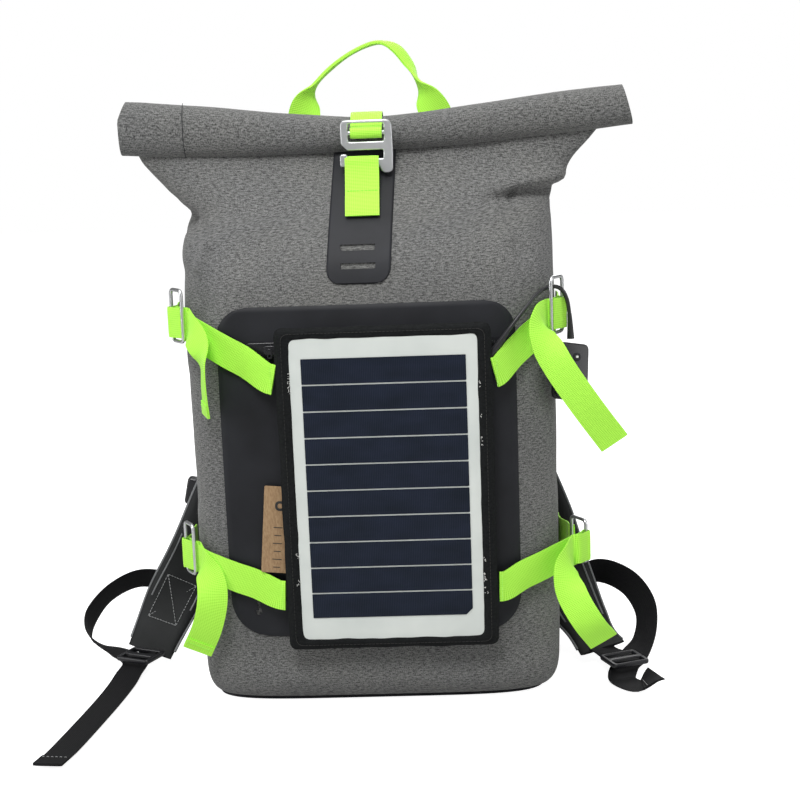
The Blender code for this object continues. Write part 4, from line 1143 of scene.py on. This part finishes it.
ADJUSTER_RIGHT = (
    ((154, 82, 18), (0, 0, 1)), ((176, 100, 40), (0, -0.3, 1)), ((206, 106, 58), (0.3, -0.3, 1)),
    ((234, 84, 54), (0.5, -0.2, 0.9)), ((248, 54, 38), (0.6, 0, 0.8)),
    ((244, 24, 20), (0.8, 0.2, 0.6)), ((229, -2, 6.5), (0.95, 0.3, 0.1)),
    ((219, -24, 4.6), (0.95, 0.35, 0)), ((216, -46, 2.4), (0.9, 0.4, 0)),
    ((230, -64, 3.6), (0.5, 0.9, 0.1)), ((244, -58, 12), (0.2, 0.9, 0.4)),
)


def pad_surface(stations, widths, thickness, steps=14, across_points=15):
    """A padded strap: crowned both ways, thin at its bound edges, with a slight quilted ripple."""
    places = frames_along(stations, steps)
    spans = [v.x for v in smooth_path([(w, 0, 0) for w in widths], steps)]
    points = []
    last = len(places) - 1
    for i, (centre, side, up, _) in enumerate(places):
        taper = min(1.0, (last - i) / 9.0 + 0.3, i / 6.0 + 0.5)
        ring = []
        for sign in (1, -1):
            for k in range(across_points):
                u = -1 + 2 * k / (across_points - 1)
                u = u if sign > 0 else -u
                full = (1 - abs(u) ** 5) ** 0.5
                ripple = 1 + 0.05 * noise.noise(centre * 0.05 + side * u * 1.7)
                height = (1.1 + (thickness / 2 - 1.1) * full * ripple) * taper
                ring.append(centre + side * u * spans[i] / 2 + up * sign * height)
        points += ring
    size = 2 * across_points
    faces = grid_faces(len(places), size, closed=True)
    faces += [tuple(range(size)), tuple(range(last * size, last * size + size))]
    return points, faces, places, spans


def carrying_strap(side, stations, adjuster, lock_at, lock_turn):
    points, faces, places, spans = pad_surface(stations, PAD_WIDTHS[side], 9.0)
    pad = make(f"pad_{side}", points, faces, "pad", "bag", (f"shoulder_pad_{side}",), sharp=70)
    for edge, label in ((-1, "a"), (1, "b")):
        line = [c + s * (w / 2 + 0.3) * edge for (c, s, _, _), w in zip(places, spans)]
        make(f"pad_{side}_piping_{label}", *tube(line[2:-2], 1.3, 8), "piping", "bag")
    facing = -1 if places[-14][2].y > 0 else 1
    rows = []
    i, j = len(places) - 20, len(places) - 9
    corners = []
    for at, edge in ((i, -0.3), (i, 0.3), (j, 0.3), (j, -0.3)):
        c, s, up, _ = places[at]
        corners.append((c + s * spans[at] * edge + up * facing * 4.75, up * facing))
    for a, b in ((0, 1), (1, 2), (2, 3), (3, 0), (0, 2), (1, 3)):
        middle = [corners[a][0].lerp(corners[b][0], t) for t in (0, 0.5, 1)]
        rows.append(seam(middle, [corners[a][1]] * 3, 2.8, 2.0, 0.26))
    make(f"pad_{side}_box_stitch", *joined(rows), "thread_grey", "bag")
    for edge, label in ((-1, "a"), (1, "b")):
        line = [c + s * w * 0.4 * edge + up * facing * 3.9 for c, s, up, w in
                ((*places[at][:3], spans[at]) for at in range(len(places) - 30, len(places) - 12, 2))]
        make(f"pad_{side}_trim_{label}", *tube(line, 0.9, 6), "piping", "bag")
    if side == "left":
        x, z = KEEPER_PLACE
        centre = min(places, key=lambda place: abs(place[0].z - z))[0]
        keeper = Matrix.Translation((x, centre.y, z)) @ Matrix.Rotation(math.radians(12.0), 4, "Y")
        keeper = keeper @ Matrix.Rotation(math.pi / 2, 4, "X") @ Matrix.Translation((0.0, 0.0, -6.0))
        outline = round_rectangle(*KEEPER_SIZE, 4.0)
        outline_plate("keeper_left", [outline], 12.0, 3.0, keeper, "plastic", "bag")
    end, before = stations[-1], Vector(stations[-2][0])
    tab = [(before.lerp(Vector(end[0]), 0.7) + Vector((0, 0, -1.0)), end[1]), (end[0], end[1]),
           (Vector(end[0]).lerp(Vector(lock_at), 0.9) + Vector((0, 0, 0.5)), (1, -0.2, 0.1))]
    points, faces, uvs = strip(tab, 25.0, 1.6)
    make(f"lock_tab_{side}", points, faces, "black", "bag", uvs=uvs)
    webbing, web_faces, uvs = strip(adjuster, 25.0, WEBBING_THICKNESS)
    make(f"adjuster_{side}", webbing, web_faces, "black", "bag", (f"adjuster_webbing_{side}",), uvs)
    hem(f"adjuster_{side}", adjuster, 25.0, "black", "thread_grey", "bag", 16.0)
    sign = -1 if side == "left" else 1
    wing = [((sign * 122.5, 78.8, 19.0), (0, 0, 1)), ((sign * 134.0, 78.8, 19.0), (0, 0, 1)),
            ((sign * 146.5, 78.8, 19.0), (0, 0, 1))]
    points, faces, uvs = strip(wing, 22.0, 2.4)
    make(f"wing_{side}", points, faces, "black", "bag", (f"strap_wing_{side}",), uvs)
    placed = Matrix.Translation(lock_at) @ Matrix.Rotation(lock_turn, 4, "Z")
    placed = placed @ Matrix.Translation((0, 0, 2.0))
    outlines = [round_rectangle(36.0, 30.0, 4.0)]
    outlines += [round_rectangle(28.0, 9.0, 1.6, 0.0, v) for v in (-7.5, 7.5)]
    outline_plate(f"lock_{side}", outlines, 4.4, 1.5, placed, "plastic", "bag", (f"ladder_lock_{side}",), 4)


def back_panel():
    """Back pad in sewn channels of spacer mesh, and the yoke that both pads are sewn to."""
    columns, rows = 60, 90
    points = []
    for layer in (0, 1):
        for i in range(rows + 1):
            for j in range(columns + 1):
                u, v = -1 + 2 * j / columns, -1 + 2 * i / rows
                x, z = u * 122.0, 216.0 + v * 182.0
                inset = max(0.0, abs(x) + abs(z - 216.0) - 280.0)
                x, z = x * (1 - inset * 0.003), 216.0 + (z - 216.0) * (1 - inset * 0.0018)
                edge = min(1.0, min(122.0 - abs(x), 182.0 - abs(z - 216.0)) / 12.0)
                full = math.sqrt(max(0.0, 1 - (1 - max(edge, 0.0)) ** 2))
                groove = min(abs(abs(x) - 38.0), abs(abs(x) - 82.0)) / 5.0
                channel = 1 - 0.6 * math.exp(-groove * groove) * (abs(z - 216.0) < 170)
                y = 78.2 + (1.4 + 8.0 * full * channel if layer else 0.0)
                points.append((x, y, z))
    wide, size = columns + 1, (rows + 1) * (columns + 1)
    faces = grid_faces(rows + 1, wide)
    faces += [tuple(size + k for k in face) for face in faces]
    rim = list(range(columns)) + [i * wide + columns for i in range(rows)]
    rim += [size - 1 - j for j in range(columns)] + [i * wide for i in range(rows, 0, -1)]
    faces += [(a, b, size + b, size + a) for a, b in zip(rim, rim[1:] + rim[:1])]
    pad = make("back_mesh", points, faces, "mesh", "bag", ("back_pad",), sharp=60)
    yoke = [((x, 90.0, 384), (0, 0, 1)) for x in (-82, -40, 0, 40, 82)]
    points, faces, uvs = strip(yoke, 30.0, 2.2)
    make("yoke", points, faces, "black", "bag", ("strap_yoke",), uvs)
    rows = []
    for x in (-70, -14, 14, 70):
        line = [Vector((x, 91.3, 372)), Vector((x, 91.3, 384)), Vector((x, 91.3, 396))]
        rows.append(seam(line, [Vector((0, 1, 0))] * 3, 2.8, 2.0, 0.26))
    make("yoke_stitches", *joined(rows), "thread_grey", "bag")


def swing_tag():
    """Kraft card with a plain round mark and ruled lines, tucked behind the panel's edge."""
    placed = Matrix.Translation((-76.5, -92.6, 162.0)) @ Matrix.Rotation(math.pi / 2, 4, "X")
    placed = placed @ Matrix.Rotation(math.radians(-5.0), 4, "Z")
    outline_plate("tag_card", [round_rectangle(*TAG_SIZE, 1.5)], 0.5, 0.1, placed, "card", "bag",
                  ("hang_tag",), 1)
    inked = placed @ Matrix.Translation((0, 0, 0.34))
    ring = round_rectangle(8.6, 8.6, 4.2, -3.0, 21.0)
    hole = round_rectangle(4.4, 4.4, 2.1, -3.0, 21.0)
    outline_plate("tag_mark", [ring, hole], 0.12, 0.03, inked, "ink", "bag", (), 1)
    lines = [round_rectangle(8.0 - 2.0 * (i % 2), 0.7, 0.3, -4.0, 2.0 - 7.0 * i) for i in range(6)]
    for i, line in enumerate(lines):
        outline_plate(f"tag_line_{i}", [line], 0.12, 0.03, inked, "ink", "bag", (), 1)


def inner_materials():
    """Looks for the pieces inside, which keep the model's own shapes."""
    for node, paint in (("frame_sheet", "sheet"), ("laptop_sleeve", "sheet"), ("roll_stiffener", "sheet"),
                        ("panel_board", "board")):
        for place in bpy.data.objects[node].material_slots:
            place.material = PAINTS[paint]


PAINTS = make_materials()
aimed_camera()
solar_lead()
studio()
bag_fabric()
roll_spiral()
films()
zip_and_base()
side_straps()
closure_and_hook()
haul_handle()
PANEL = solar_panel()
loose_threads(PANEL)
laminate_and_cells(PANEL)
carrying_strap("left", PAD_LEFT, ADJUSTER_LEFT, (-229.0, 16.0, 12.5), math.radians(-24.0))
carrying_strap("right", PAD_RIGHT, ADJUSTER_RIGHT, (220.0, -20.0, 10.6), math.radians(22.0))
back_panel()
swing_tag()
inner_materials()
